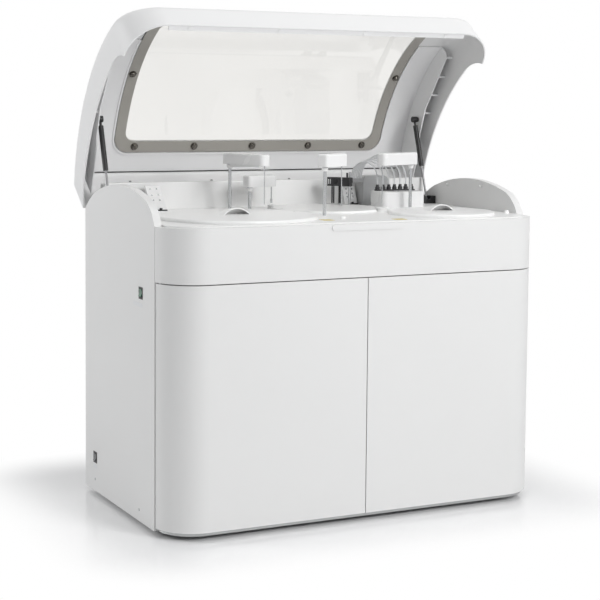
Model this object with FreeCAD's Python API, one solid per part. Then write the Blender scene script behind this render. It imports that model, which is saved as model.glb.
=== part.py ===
import FreeCAD, Part
import math
import os

# Floor-standing chemistry analyzer, shown with its hood open.
# Millimetres, X to the right, Y to the rear, Z up. The shapes are drawn round the middle of the
# cabinet, and export() moves them so that the origin is on the floor under the middle of the whole
# machine with its hood open.

os.makedirs("parts", exist_ok=True)

V = FreeCAD.Vector

# Cabinet
WIDTH = 1210.0
DEPTH = 700.0
CORNER_R = 115.0
PANEL_T = 22.0
SKIN_T = 3.0
SEAM = 3.0
BASE_Z = 12.0
BASE_T = 8.0
DOOR_BOTTOM = 23.0
DOOR_TOP = 704.5
FASCIA_TOP = 860.0
DECK_TOP = 864.0
DECK_T = 4.0
REAR_WALL_Y = DEPTH / 2 - 50
REAR_WALL_TOP = 948.0
POST_W = 30.0
RAIL_D = 26.0
ORIGIN_X = -2.29
ORIGIN_Y = 64.74

# Arched top edge of the side panels: seam foot, shoulder, crown, rear shoulder, rear foot (Y, Z)
ARCH_FOOT = (CORNER_R - DEPTH / 2, 858.0)
ARCH_NOSE = (ARCH_FOOT[0] + 19, 890.0)
ARCH_SHOULDER = (ARCH_FOOT[0] + 70, 927.0)
ARCH_CROWN = (23.0, 958.0)
ARCH_BACK = (DEPTH / 2 - 112, 930.0)
ARCH_FALL = (DEPTH / 2 - 50, 905.0)
ARCH_REAR = (DEPTH / 2, 869.0)

# Hood, drawn closed and then turned open about its rear pins
HOOD_T = 4.0
HOOD_BOTTOM = 864.0
HOOD_GAP = 2.5
CROWN_R = 626.0
CROWN_Y = 45.0
CROWN_TOP = 1094.0
CROWN_Z = CROWN_TOP - CROWN_R
EDGE_R = 34.0
PIN_Y = DEPTH / 2 + 7.5
PIN_Z = 847.0
HOOD_OPEN = 52.2
WINDOW_SIDE = 162.0
WINDOW_HALF = WIDTH / 2 - WINDOW_SIDE
WINDOW_FRONT = 100 - DEPTH / 2
WINDOW_REAR = DEPTH / 2 - 112
WINDOW_R = 32.0
PANE_LAP = 34.0
PANE_T = 4.0
LINER_T = 3.0
PLATE_INSET = 35.0
PLATE_X = WIDTH / 2 - PLATE_INSET
PLATE_FRONT = -160.0
PLATE_LOW = 1008.0
NUT_R = 12.0
NUT_H = 10.0

# Gas struts
STRUT_INSET = 48.0
STRUT_X = WIDTH / 2 - STRUT_INSET
BALL_CLOSED = (121.0, 1023.0)
BLOCK_BALL = (DEPTH / 2 - 85, 880.0)
BALL_R = 6.0
CYL_R = 8.0
CYL_START = 22.0
CYL_END = 163.0
ROD_R = 3.5

# Deck units: plan centres and radii
REAGENT_C = (-295.0, -87.0)
REAGENT_R = 238.0
REAGENT_RINGS = ((212.0, 20), (168.0, 16))
REACTION_C = (95.0, 105.0)
REACTION_R = 170.0
POCKET_RING = 152.0
POCKETS = 40
POCKET_W = 11.0
SAMPLE_C = (355.0, -160.0)
SAMPLE_R = 163.0
SAMPLE_RING = 115.0
SAMPLES = 24
COVER_H = 10.0
COVER_T = 3.0
COVER_CHORD = 15.0
TUB_DEPTH = 110.0
TUB_T = 3.0
BOTTLE_H = 66.0
GRIP_W = 84.0
GRIP_H = 20.0
GRIP_D = 40.0

# Arms: pillar place, pocket that the arm reaches, heights and half width of the head
PILLAR_R = 5.0
PROBE_R = 1.5
COLLAR_R = 9.0
GUIDE_R = 14.0
GUIDE_TOP = 70.0
RUN_FIT = 0.06
ARM_LIFT = 70.0
MIX_LIFT = 45.0
HEAD_W = 18.0
PROBE_TIP = 887.0
MIX_TIP = 881.0

# Fits
FIT = 0.3


# Helpers
def box(x0, x1, y0, y1, z0, z1):
    return Part.makeBox(x1 - x0, y1 - y0, z1 - z0, V(x0, y0, z0))


def cyl(x, y, z0, z1, r):
    return Part.makeCylinder(r, z1 - z0, V(x, y, z0))


def cyl_x(x0, x1, y, z, r):
    return Part.makeCylinder(r, x1 - x0, V(x0, y, z), V(1, 0, 0))


def rod(a, b, r):
    a, b = V(*a), V(*b)
    return Part.makeCylinder(r, (b - a).Length, a, b - a)


def fuse(shapes):
    shapes = list(shapes)
    return shapes[0].multiFuse(shapes[1:]).removeSplitter()


def group(shapes):
    return Part.makeCompound(list(shapes))


def mirror_x(shape):
    return shape.mirror(V(0, 0, 0), V(1, 0, 0))


def polygon_prism(points, x0, x1):
    """Prism along X over a closed outline of (Y, Z) points."""
    wire = Part.makePolygon([V(x0, y, z) for y, z in list(points) + [points[0]]])
    return Part.Face(wire).extrude(V(x1 - x0, 0, 0))


def round_rect(x0, x1, y0, y1, r, z0, z1):
    """Upright block with four rounded corners."""
    solid = box(x0, x1, y0, y1, z0, z1)
    edges = [e for e in solid.Edges if abs(e.tangentAt(e.FirstParameter).z) > 0.9]
    return solid.makeFillet(r, edges)


def cabinet_plan(inset, z0, z1):
    """Cabinet outline moved in by inset, with the two round front corners."""
    x = WIDTH / 2 - inset
    y = DEPTH / 2 - inset
    solid = box(-x, x, -y, y, z0, z1)
    front = [
        e
        for e in solid.Edges
        if abs(e.tangentAt(e.FirstParameter).z) > 0.9 and e.CenterOfMass.y < 0
    ]
    return solid.makeFillet(CORNER_R - inset, front)


def side_outline(x0, x1, drop, gap=0.0):
    """Side panel outline down to the height drop, grown by gap, as a prism along X."""
    pts = [ARCH_FOOT, ARCH_NOSE, ARCH_SHOULDER, ARCH_CROWN, ARCH_BACK, ARCH_FALL, ARCH_REAR]
    foot, nose, shoulder, crown, back, fall, rear = [V(x0, y, z) for y, z in pts]
    low_rear = V(x0, rear.y, drop)
    low_front = V(x0, foot.y, drop)
    edges = [
        Part.Arc(foot, nose, shoulder).toShape(),
        Part.Arc(shoulder, crown, back).toShape(),
        Part.Arc(back, fall, rear).toShape(),
        Part.makeLine(rear, low_rear),
        Part.makeLine(low_rear, low_front),
        Part.makeLine(low_front, foot),
    ]
    face = Part.Face(Part.Wire(edges))
    if gap:
        face = face.makeOffset2D(gap)
    return face.extrude(V(x1 - x0, 0, 0))


def hood_block(inset):
    """Closed outer form of the hood, moved in by inset, reaching below the free edges."""
    r = CROWN_R - inset
    drum = cyl_x(-WIDTH, WIDTH, CROWN_Y, CROWN_Z, r)
    drum.rotate(V(0, CROWN_Y, CROWN_Z), V(1, 0, 0), -90)
    solid = cabinet_plan(inset, HOOD_BOTTOM - 40, CROWN_TOP + 50).common(drum)
    axis = V(0, CROWN_Y, CROWN_Z)

    def on_crown(edge):
        ends = [edge.valueAt(p) for p in (edge.FirstParameter, edge.LastParameter)]
        mid = edge.valueAt((edge.FirstParameter + edge.LastParameter) / 2)
        return all(
            abs(math.hypot(p.y - axis.y, p.z - axis.z) - r) < 0.05 for p in ends + [mid]
        )

    loop = [e for e in solid.Edges if on_crown(e)]
    rounded = None
    for nudge in (0, 0.1, -0.1, 0.25, -0.25, 0.5):
        try:
            rounded = solid.makeFillet(EDGE_R - inset + nudge, loop)
        except Part.OCCError:
            continue
        if rounded.isValid():
            break
    return rounded


def turned_open(shape):
    """Turns a piece drawn on the closed hood to the open position about the rear pins."""
    shape = shape.copy()
    shape.rotate(V(0, PIN_Y, PIN_Z), V(1, 0, 0), -HOOD_OPEN)
    return shape


def open_point(y, z):
    """Where a point of the closed hood stands with the hood open."""
    a = math.radians(HOOD_OPEN)
    dy, dz = y - PIN_Y, z - PIN_Z
    return (
        PIN_Y + dy * math.cos(a) + dz * math.sin(a),
        PIN_Z - dy * math.sin(a) + dz * math.cos(a),
    )


def export(name, shape):
    shape = shape.copy()
    shape.translate(V(-ORIGIN_X, -ORIGIN_Y, 0))
    shape.exportStep("parts/" + name + ".step")


def polar(centre, r, degrees):
    a = math.radians(degrees)
    return (centre[0] + r * math.cos(a), centre[1] + r * math.sin(a))


def pocket(degrees):
    """Plan place of a cuvette pocket of the reaction carousel."""
    return polar(REACTION_C, POCKET_RING, degrees)


def bearing(a, b):
    return math.degrees(math.atan2(b[1] - a[1], b[0] - a[0]))


def distance(a, b):
    return math.hypot(b[0] - a[0], b[1] - a[1])


def reach(pillar, length, centre, ring, side):
    """Direction in which an arm of this length meets a ring; side picks one of the two places."""
    d = distance(pillar, centre)
    cos_a = (length**2 + d**2 - ring**2) / (2 * length * d)
    return bearing(pillar, centre) + side * math.degrees(math.acos(cos_a))


# Arm geometry: pillar, arm length from the pocket it serves, direction at rest and other stops
PILLAR_1 = (-181.0, 220.0)
LENGTH_1 = distance(PILLAR_1, pocket(180))
REST_1 = reach(PILLAR_1, LENGTH_1, REAGENT_C, REAGENT_RINGS[0][0], 1)
LOW_1 = reach(PILLAR_1, LENGTH_1, REAGENT_C, REAGENT_RINGS[1][0], -1)
HIGH_1 = bearing(PILLAR_1, pocket(180))
PILLAR_2 = (-122.0, 200.0)
LENGTH_2 = distance(PILLAR_2, pocket(153))
REST_2 = 13.0
LOW_2 = bearing(PILLAR_2, pocket(153))
PILLAR_3 = (-9.0, -90.0)
LENGTH_3 = distance(PILLAR_3, pocket(-99))
REST_3 = bearing(PILLAR_3, pocket(-99))
HIGH_3 = reach(PILLAR_3, LENGTH_3, REAGENT_C, REAGENT_RINGS[0][0], -1)
PILLAR_4 = (362.0, 40.0)
LENGTH_4 = distance(PILLAR_4, pocket(-36))
REST_4 = -156.8
LOW_4 = bearing(PILLAR_4, pocket(-36))
HIGH_4 = reach(PILLAR_4, LENGTH_4, SAMPLE_C, SAMPLE_RING, -1)

# name, pillar, length, rest direction, head bottom, head top, probe tip, probe radius, lift
ARMS = [
    ("reagent_arm_left", PILLAR_1, LENGTH_1, REST_1, 1007.0, 1041.0, PROBE_TIP, PROBE_R, ARM_LIFT),
    ("mixer_arm", PILLAR_2, LENGTH_2, REST_2, 934.0, 970.0, MIX_TIP, 2.0, MIX_LIFT),
    ("reagent_arm_middle", PILLAR_3, LENGTH_3, REST_3, 1009.0, 1047.0, PROBE_TIP, PROBE_R, ARM_LIFT),
    ("sample_arm", PILLAR_4, LENGTH_4, REST_4, 1007.0, 1045.0, PROBE_TIP, PROBE_R, ARM_LIFT),
]
DIP_R = 5.0
WASH_CUP = polar(PILLAR_4, LENGTH_4, REST_4)
MIX_CUP = polar(PILLAR_2, LENGTH_2, REST_2)


# Cabinet
def side_panel():
    """Left side panel: a pan with a rolled rim, closed on both faces above the deck."""
    x0, x1 = -WIDTH / 2, -WIDTH / 2 + PANEL_T
    block = side_outline(x0, x1, BASE_Z)
    hollow = side_outline(x0 + SKIN_T, x1 - SKIN_T, BASE_Z + SKIN_T)
    hollow = hollow.common(
        side_outline(x0 + SKIN_T, x1 - SKIN_T, BASE_Z - 50, -SKIN_T)
    )
    window = box(x0 + SKIN_T, x1 + 1, ARCH_FOOT[0] + 25, DEPTH / 2 - 25, BASE_Z + 40, DECK_TOP - 40)
    return block.cut(hollow).cut(window)


def switch_hole(y, z):
    return box(-WIDTH / 2 - 1, -WIDTH / 2 + PANEL_T + 1, y - 13, y + 13, z - 15, z + 15)


SWITCHES = {"upper": (-130.0, 665.0), "lower": (260.0, 116.0)}


def base_frame():
    tray = cabinet_plan(12, BASE_Z, BASE_Z + BASE_T)
    between = WIDTH / 2 - PANEL_T - FIT
    for sx in (-1, 1):
        side = box(between, WIDTH, ARCH_FOOT[0] - FIT, DEPTH, 0, 100)
        tray = tray.cut(side if sx > 0 else mirror_x(side))
    x = between - POST_W
    posts = []
    for sx in (-1, 1):
        for y0 in (ARCH_FOOT[0] + 25, DEPTH / 2 - RAIL_D - FIT - POST_W):
            outer = box(0, POST_W, y0, y0 + POST_W, BASE_Z + BASE_T, DECK_TOP - DECK_T - 1)
            inner = box(3, POST_W - 3, y0 + 3, y0 + POST_W - 3, BASE_Z, DECK_TOP)
            post = outer.cut(inner)
            post.translate(V(x if sx > 0 else -x - POST_W, 0, 0))
            posts.append(post)
    return fuse([tray] + posts)


def levelling_feet():
    feet = []
    for sx in (-1, 1):
        for y in (ARCH_FOOT[0] + 30, DEPTH / 2 - 60):
            x = sx * (WIDTH / 2 - 70)
            pad = Part.makeCone(24, 20, 7, V(x, y, 0))
            feet.append(pad.fuse(cyl(x, y, 7, BASE_Z, 10)))
    return group(feet)


def rear_panel():
    x = WIDTH / 2 - PANEL_T - 1
    sheet = box(-x, x, DEPTH / 2 - 2.5, DEPTH / 2 - 0.5, BASE_Z + BASE_T + 1, PIN_Z - 14)
    flanges = [
        box(-x, x, DEPTH / 2 - 16, DEPTH / 2 - 0.5, z, z + 2)
        for z in (BASE_Z + BASE_T + 1, PIN_Z - 16)
    ]
    louvres = []
    for col in range(2):
        for row in range(8):
            x0 = 150 + col * 180
            z0 = 520 + row * 22
            louvres.append(box(x0, x0 + 150, DEPTH / 2 - 5, DEPTH / 2 + 5, z0, z0 + 6))
    return fuse([sheet] + flanges).cut(group(louvres))


HINGE_X = 380.0
KNUCKLE_R = 7.0
HINGE_PIN_R = 4.0
HINGE_HALF = 45.0


def knuckle(x0, x1):
    return cyl_x(x0, x1, PIN_Y, PIN_Z, KNUCKLE_R)


def pin_bore(x0, x1, radius):
    return cyl_x(x0, x1, PIN_Y, PIN_Z, radius)


def cabinet_hinge_leaves():
    leaves = []
    for x in (-HINGE_X, HINGE_X):
        plate = box(x - HINGE_HALF, x + HINGE_HALF, DEPTH / 2 + 0.2, DEPTH / 2 + 3.2, PIN_Z - 50, PIN_Z - 9)
        web = box(x - 14.7, x + 14.7, DEPTH / 2 + 0.2, DEPTH / 2 + 3.2, PIN_Z - 12, PIN_Z)
        leaf = fuse([plate, web, knuckle(x - 14.7, x + 14.7)])
        leaves.append(leaf.cut(pin_bore(x - 50, x + 50, HINGE_PIN_R)))
    return leaves


def upper_frame():
    """Rear rail that carries the hood hinges, and front rail that carries the upper door pins."""
    x = WIDTH / 2 - PANEL_T - 1
    rail = box(-x, x, DEPTH / 2 - RAIL_D, DEPTH / 2 - 0.2, PIN_Z - 12, DECK_TOP + 1)
    hollow = box(-x - 1, x + 1, DEPTH / 2 - 23, DEPTH / 2 - 3.2, PIN_Z - 9, DECK_TOP - 2)
    rear = rail.cut(hollow)
    front = cabinet_plan(8, DOOR_TOP + 2, DOOR_TOP + 7).cut(
        box(-WIDTH, WIDTH, ARCH_FOOT[0] - 2, DEPTH, 0, 2000)
    )
    front = front.cut(cabinet_plan(60, 0, 2000))
    return group([fuse([rear] + cabinet_hinge_leaves()), front])


HINGE_STILE_R = 12.0
DOOR_AXIS = (-WIDTH / 2 + HINGE_STILE_R, ARCH_FOOT[0] - SEAM - HINGE_STILE_R)
DOOR_PIN_R = 4.0


def hinge_pins():
    pins = []
    for sx in (-1, 1):
        x, y = sx * -DOOR_AXIS[0], DOOR_AXIS[1]
        pins.append(cyl(x, y, BASE_Z + BASE_T, DOOR_BOTTOM + 25, DOOR_PIN_R))
        pins.append(cyl(x, y, DOOR_TOP - 25, DOOR_TOP + 2, DOOR_PIN_R))
        hx = sx * HINGE_X
        pins.append(
            fuse(
                [
                    cyl_x(hx - HINGE_HALF - 1, hx + HINGE_HALF + 1, PIN_Y, PIN_Z, HINGE_PIN_R),
                    cyl_x(hx - HINGE_HALF - 4, hx - HINGE_HALF - 1, PIN_Y, PIN_Z, 6),
                    cyl_x(hx + HINGE_HALF + 1, hx + HINGE_HALF + 4, PIN_Y, PIN_Z, 6),
                ]
            )
        )
    return group(pins)


GRIP_HALF = 118.0


def front_fascia():
    low = DOOR_TOP + SEAM
    outer = cabinet_plan(0, low, FASCIA_TOP)
    hollow = cabinet_plan(SKIN_T, low + SKIN_T, FASCIA_TOP - SKIN_T)
    opening = cabinet_plan(18, low + 5.5, FASCIA_TOP + 1)
    shadow = cabinet_plan(6, low - 1, low + 5.5)
    back = box(-WIDTH, WIDTH, ARCH_FOOT[0] - SEAM + 1, DEPTH, 0, 2000)
    grip = round_rect(-GRIP_HALF, GRIP_HALF, -9.0, 9.0, 8.9, -5.0, 3.0)
    grip.rotate(V(0, 0, 0), V(1, 0, 0), 90)
    grip.translate(V(0, -DEPTH / 2, FASCIA_TOP - 9))
    body = outer.cut(hollow).cut(opening).cut(shadow).cut(back)
    return fuse([body, grip])


def work_deck():
    plate = cabinet_plan(PANEL_T - 3.5, DECK_TOP - DECK_T, DECK_TOP)
    x = WIDTH / 2 - PANEL_T - 0.5
    plate = plate.common(box(-x, x, -DEPTH, REAR_WALL_Y - 1, 0, 2000))
    plate = plate.cut(
        group(
            [
                cyl(*REAGENT_C, 0, 2000, REAGENT_R - 10),
                cyl(*REACTION_C, 0, 2000, REACTION_R - 8),
                cyl(*SAMPLE_C, 0, 2000, SAMPLE_R - 9),
            ]
            + [cyl(*arm[1], 0, 2000, PILLAR_R + 0.4) for arm in ARMS]
        )
    )
    knob = Part.makeCone(9, 7, 9, V(WIDTH / 2 - 39, -200, DECK_TOP))
    return fuse([plate, knob])


def rear_deck_wall():
    x = PLATE_X - 6
    face = box(-x, x, REAR_WALL_Y, REAR_WALL_Y + 3, DECK_TOP - DECK_T, REAR_WALL_TOP)
    top = box(-x, x, REAR_WALL_Y, REAR_WALL_Y + 30, REAR_WALL_TOP - 3, REAR_WALL_TOP)
    back = box(-x, x, REAR_WALL_Y + 27, REAR_WALL_Y + 30, DECK_TOP + 1.3, REAR_WALL_TOP)
    sill = box(-x, x, REAR_WALL_Y, REAR_WALL_Y + 30, DECK_TOP + 1.3, DECK_TOP + 4.3)
    wall = fuse([face, top, back, sill])
    edges = [
        e
        for e in wall.Edges
        if abs(e.CenterOfMass.z - REAR_WALL_TOP) < 0.1
        and abs(e.CenterOfMass.y - REAR_WALL_Y) < 0.1
    ]
    return wall.makeFillet(2.5, edges)


def deck_guides():
    """Guide tube under each arm, and the post of the wash station."""
    solids = []
    for arm in ARMS:
        top = DECK_TOP - DECK_T
        low = top - GUIDE_TOP - arm[8] - 6
        tube = cyl(*arm[1], low, top, GUIDE_R)
        tube = tube.cut(cyl(*arm[1], low - 1, top - GUIDE_TOP, COLLAR_R + 0.5))
        solids.append(tube.cut(cyl(*arm[1], low - 1, DECK_TOP, PILLAR_R + RUN_FIT)))
    x, y = WASH_POST
    solids.append(fuse([cyl(x, y, DECK_TOP, 976, WASH_POST_R), cyl(x, y, DECK_TOP, DECK_TOP + 4, 11)]))
    return group(solids)


def tub(centre, radius):
    low = DECK_TOP - DECK_T - TUB_DEPTH
    outer = cyl(*centre, low, DECK_TOP - DECK_T, radius)
    inner = cyl(*centre, low + TUB_T, DECK_TOP, radius - TUB_T)
    boss = cyl(*centre, low, low + 8, 30)
    spindle = cyl(*centre, low, low + 26, 8)
    return fuse([outer.cut(inner), boss, spindle])


def disc_tubs():
    return group(
        [
            tub(REAGENT_C, REAGENT_R - 5),
            tub(REACTION_C, REACTION_R - 4),
            tub(SAMPLE_C, SAMPLE_R - 5),
        ]
    )


# Disc covers
def cover(centre, radius, height):
    """Low round cover with a rolled rim, hollow from below."""
    z0 = DECK_TOP + FIT
    outer = cyl(*centre, z0, z0 + height, radius)
    rim = [e for e in outer.Edges if e.CenterOfMass.z > z0 + height - 0.1 and len(e.Vertexes) == 1]
    outer = outer.makeFillet(height * 0.55, rim)
    return outer.cut(cyl(*centre, z0 - 1, z0 + height - COVER_T, radius - 8))


def arched_block(half, tall, deep, front):
    """Block under two crossed drums: arched across, and falling away to the rear."""
    across = (half**2 + tall**2) / (2 * tall)
    back = (deep**2 + tall**2) / (2 * tall)
    barrel = Part.makeCylinder(across, deep - front, V(0, front, tall - across), V(0, 1, 0))
    drum = cyl_x(-half, half, 0, tall - back, back)
    flat = box(-half, half, front - 1, 0, 0, tall)
    return barrel.common(fuse([drum, flat])).common(box(-half, half, front, deep, 0, tall))


def grip(centre, z):
    """Arched finger grip, open to the front."""
    wall = 3.0
    outer = arched_block(GRIP_W / 2, GRIP_H, GRIP_D, 0)
    inner = arched_block(GRIP_W / 2 - wall, GRIP_H - wall, GRIP_D - wall, -wall)
    shell = outer.cut(inner)
    shell.translate(V(centre[0], centre[1] - 6, z - 0.5))
    return shell


def dips(places, r=DIP_R):
    return group([cyl(*p, DECK_TOP - 20, DECK_TOP + 30, r) for p in places])


def left_disc_cover():
    z_top = DECK_TOP + FIT + COVER_H
    body = cover(REAGENT_C, REAGENT_R, COVER_H)
    body = body.cut(box(-WIDTH, WIDTH, COVER_CHORD, DEPTH, 0, 2000))
    return fuse([body.cut(dips([polar(PILLAR_3, LENGTH_3, HIGH_3)])), grip(REAGENT_C, z_top)])


def right_disc_cover():
    z_top = DECK_TOP + FIT + COVER_H
    body = cover(SAMPLE_C, SAMPLE_R, COVER_H)
    body = body.cut(dips([polar(PILLAR_4, LENGTH_4, HIGH_4)], 7))
    return fuse([body, grip(SAMPLE_C, z_top)])


def fixed_disc_covers():
    """Rear segment over the reagent disc, and the cover of the reaction disc."""
    rear = cover(REAGENT_C, REAGENT_R, COVER_H)
    rear = rear.cut(box(-WIDTH, WIDTH, -DEPTH, COVER_CHORD + 1.5, 0, 2000))
    rear = rear.cut(
        dips([polar(PILLAR_1, LENGTH_1, REST_1), polar(PILLAR_1, LENGTH_1, LOW_1)])
    )
    middle = cover(REACTION_C, REACTION_R, COVER_H - 2)
    middle = middle.cut(dips([pocket(180), pocket(153), pocket(-99), pocket(-36)]))
    slot = cyl(*REACTION_C, 0, 2000, POCKET_RING + 9).cut(
        cyl(*REACTION_C, -1, 2001, POCKET_RING - 9)
    )
    middle = middle.cut(slot.common(sector(REACTION_C, 28, 71, 0, 2000)))
    middle = middle.cut(group([cyl(*WASH_CUP, 0, 2000, CUP_R + 2), cyl(*MIX_CUP, 0, 2000, 14)]))
    return group([rear, middle])


CUP_R = 20.0
WASH_POST = polar(REACTION_C, REACTION_R + 14, 38)
WASH_POST_R = 4.0


def sector(centre, a0, a1, z0, z1):
    """Wedge of plan angles a0 to a1 round a centre."""
    pts = [V(centre[0], centre[1], z0)]
    for a in (a0, (a0 + a1) / 2, a1):
        x, y = polar(centre, 400, a)
        pts.append(V(x, y, z0))
    wire = Part.makePolygon(pts + [pts[0]])
    return Part.Face(wire).extrude(V(0, 0, z1 - z0))


def cup(place, radius, height):
    """Wash cup: a turned foot, waist and lip."""
    x, y = place
    foot = cyl(x, y, DECK_TOP, DECK_TOP + 4, radius)
    waist = cyl(x, y, DECK_TOP, DECK_TOP + height, radius - 3)
    lip = cyl(x, y, DECK_TOP + height - 4, DECK_TOP + height, radius)
    return fuse([foot, waist, lip])


def wash_cups():
    big = cup(WASH_CUP, CUP_R, 14).cut(cyl(*WASH_CUP, 0, 2000, 9))
    small = cup(MIX_CUP, 12, 12).cut(cyl(*MIX_CUP, 0, 2000, 6))
    return group([big, small])


def cup_drains():
    """Deck holes under the two wash cups."""
    return group([cyl(*WASH_CUP, 0, 2000, 9), cyl(*MIX_CUP, 0, 2000, 6)])


def disc_plate(centre, radius):
    """Turning carousel plate on its spindle."""
    low = DECK_TOP - DECK_T - TUB_DEPTH
    plate = cyl(*centre, low + 10, low + 15, radius)
    hub = cyl(*centre, low + 10, low + 40, 22)
    return fuse([plate, hub]).cut(cyl(*centre, low, low + 27, 8 + RUN_FIT))


def reagent_carousel():
    z0 = DECK_TOP - DECK_T - TUB_DEPTH + 15
    plate = disc_plate(REAGENT_C, REAGENT_R - 10)
    rings = []
    for r in (229, 195, 152):
        ring = cyl(*REAGENT_C, z0 - 2, z0 + 14, r).cut(cyl(*REAGENT_C, z0 - 3, z0 + 15, r - 3))
        rings.append(ring)
    return fuse([plate] + rings)


def reagent_bottles():
    """Square bottles with open necks in two rings under the dip holes."""
    z0 = DECK_TOP - DECK_T - TUB_DEPTH + 15
    phase = [
        bearing(REAGENT_C, polar(PILLAR_1, LENGTH_1, REST_1)),
        bearing(REAGENT_C, polar(PILLAR_1, LENGTH_1, LOW_1)),
    ]
    bottles = []
    for (ring, count), start in zip(REAGENT_RINGS, phase):
        for k in range(count):
            body = box(-13, 13, -13, 13, z0 + FIT, z0 + BOTTLE_H - 12)
            neck = cyl(0, 0, z0 + BOTTLE_H - 13, z0 + BOTTLE_H, 10)
            well = cyl(0, 0, z0 + 4, z0 + BOTTLE_H + 1, 8)
            bottle = fuse([body, neck]).cut(well)
            bottle.translate(V(ring, 0, 0))
            bottle.rotate(V(0, 0, 0), V(0, 0, 1), start + k * 360.0 / count)
            bottle.translate(V(REAGENT_C[0], REAGENT_C[1], 0))
            bottles.append(bottle)
    return group(bottles)


def reaction_carousel():
    low = DECK_TOP - DECK_T - TUB_DEPTH
    plate = disc_plate(REACTION_C, REACTION_R - 10)
    ring = cyl(*REACTION_C, low + 14, DECK_TOP - 20, POCKET_RING + 8).cut(
        cyl(*REACTION_C, low, DECK_TOP, POCKET_RING - 8)
    )
    body = fuse([plate, ring])
    half = POCKET_W / 2
    pockets = []
    for k in range(POCKETS):
        cut = box(-half, half, -half, half, DECK_TOP - 60, DECK_TOP)
        cut.translate(V(POCKET_RING, 0, 0))
        cut.rotate(V(0, 0, 0), V(0, 0, 1), k * 360.0 / POCKETS)
        cut.translate(V(REACTION_C[0], REACTION_C[1], 0))
        pockets.append(cut)
    return body.cut(group(pockets))


def sample_carousel():
    z0 = DECK_TOP - DECK_T - TUB_DEPTH
    plate = disc_plate(SAMPLE_C, SAMPLE_R - 10)
    rack = cyl(*SAMPLE_C, z0 + 50, z0 + 56, SAMPLE_RING + 14).cut(
        cyl(*SAMPLE_C, z0, z0 + 90, SAMPLE_RING - 14)
    )
    legs = []
    for k in range(4):
        x, y = polar(SAMPLE_C, SAMPLE_RING + 10.5, 45 + 90 * k)
        legs.append(cyl(x, y, z0 + 14, z0 + 52, 2.5))
    body = fuse([plate, rack] + legs)
    holes = [cyl(*sample_place(k), z0 + 20, z0 + 80, 6.5 + FIT) for k in range(SAMPLES)]
    return body.cut(group(holes))


def sample_place(k):
    start = bearing(SAMPLE_C, polar(PILLAR_4, LENGTH_4, HIGH_4))
    return polar(SAMPLE_C, SAMPLE_RING, start + k * 360.0 / SAMPLES)


def sample_tubes():
    z0 = DECK_TOP - DECK_T - TUB_DEPTH + 15
    tubes = []
    for k in range(SAMPLES):
        x, y = sample_place(k)
        tube = cyl(x, y, z0 + FIT, z0 + 76, 6.5)
        tubes.append(tube.cut(cyl(x, y, z0 + 2, z0 + 77, 5.5)))
    return group(tubes)


# Deck furniture
def bracket(x0, x1, y0, y1, z1):
    """Sloped reader bracket: a leaning plate on two curved gussets."""
    z0 = DECK_TOP
    plate = polygon_prism([(y0, z0), (y0 + 6, z0), (y1 + 6, z1), (y1, z1)], x0, x1)
    gussets = []
    for x in (x0, x1 - 4):
        wire = Part.Wire(
            [
                Part.makeLine(V(x, y0 + 3, z0), V(x, y1 + 12, z0)),
                Part.makeLine(V(x, y1 + 12, z0), V(x, y1 + 12, z0 + 12)),
                Part.Arc(
                    V(x, y1 + 12, z0 + 12), V(x, y1 - 2, z0 + 0.52 * (z1 - z0)), V(x, y1 + 3, z1 - 2)
                ).toShape(),
                Part.makeLine(V(x, y1 + 3, z1 - 2), V(x, y0 + 3, z0)),
            ]
        )
        gussets.append(Part.Face(wire).extrude(V(4, 0, 0)))
    toe = box(x0, x1, y0 - 10, y0 + 6, z0, z0 + 3)
    return fuse([plate, toe] + gussets)


BRACKETS = ((-442.0, -394.0, 203.0, 270.0, 940.0), (246.0, 292.0, 258.0, 283.0, 924.0))


def reader_brackets():
    return group([bracket(*b) for b in BRACKETS])


def reader_latches():
    """Black turn latch at the toe of each bracket."""
    latches = []
    for x0, x1, y0, y1, z1 in BRACKETS:
        x = (x0 + x1) / 2 + 6
        z = DECK_TOP + 3
        body = box(x - 14, x + 14, y0 - 9, y0 - 1, z, z + 4)
        latches.append(fuse([body, cyl(x - 5, y0 - 5, z, z + 9, 4.5)]))
    return group(latches)


HOUSING = (285.0, 440.0, 75.0, 170.0, 918.0)


def tube_housing():
    x0, x1, y0, y1, z1 = HOUSING
    outer = round_rect(x0, x1, y0, y1, 16, DECK_TOP, z1)
    top = [e for e in outer.Edges if abs(e.CenterOfMass.z - z1) < 0.1]
    outer = outer.makeFillet(3, top)
    inner = round_rect(x0 + 3, x1 - 3, y0 + 3, y1 - 3, 13, DECK_TOP - 1, z1 - 3)
    return outer.cut(inner)


CONNECTORS = 7
CONNECTOR_Y = 140.0


def connector_places():
    x0, x1 = HOUSING[0] + 14, HOUSING[1] - 16
    return [(x0 + k * (x1 - x0) / (CONNECTORS - 1), CONNECTOR_Y) for k in range(CONNECTORS)]


def tube_connectors():
    z = HOUSING[4]
    solids = []
    for x, y in connector_places():
        base = cyl(x, y, z, z + 12, 7.5)
        cap = Part.makeCone(6, 4.5, 8, V(x, y, z + 12))
        solids.append(fuse([base, cap]))
    bar = box(HOUSING[0] + 8, HOUSING[1] - 8, CONNECTOR_Y - 10, CONNECTOR_Y + 10, z, z + 4)
    return fuse([bar] + solids)


OPTICS = (299.0, 392.0, 234.0, 286.0, 961.0)
RAIL_PITCH = 6.0
RAIL_X = OPTICS[0] - 44
RAIL_Y = OPTICS[2] + 2
RAIL_TOP = OPTICS[4] - 8
TUBE_R = 2.2
TUBE_RISE = 955.0


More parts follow.
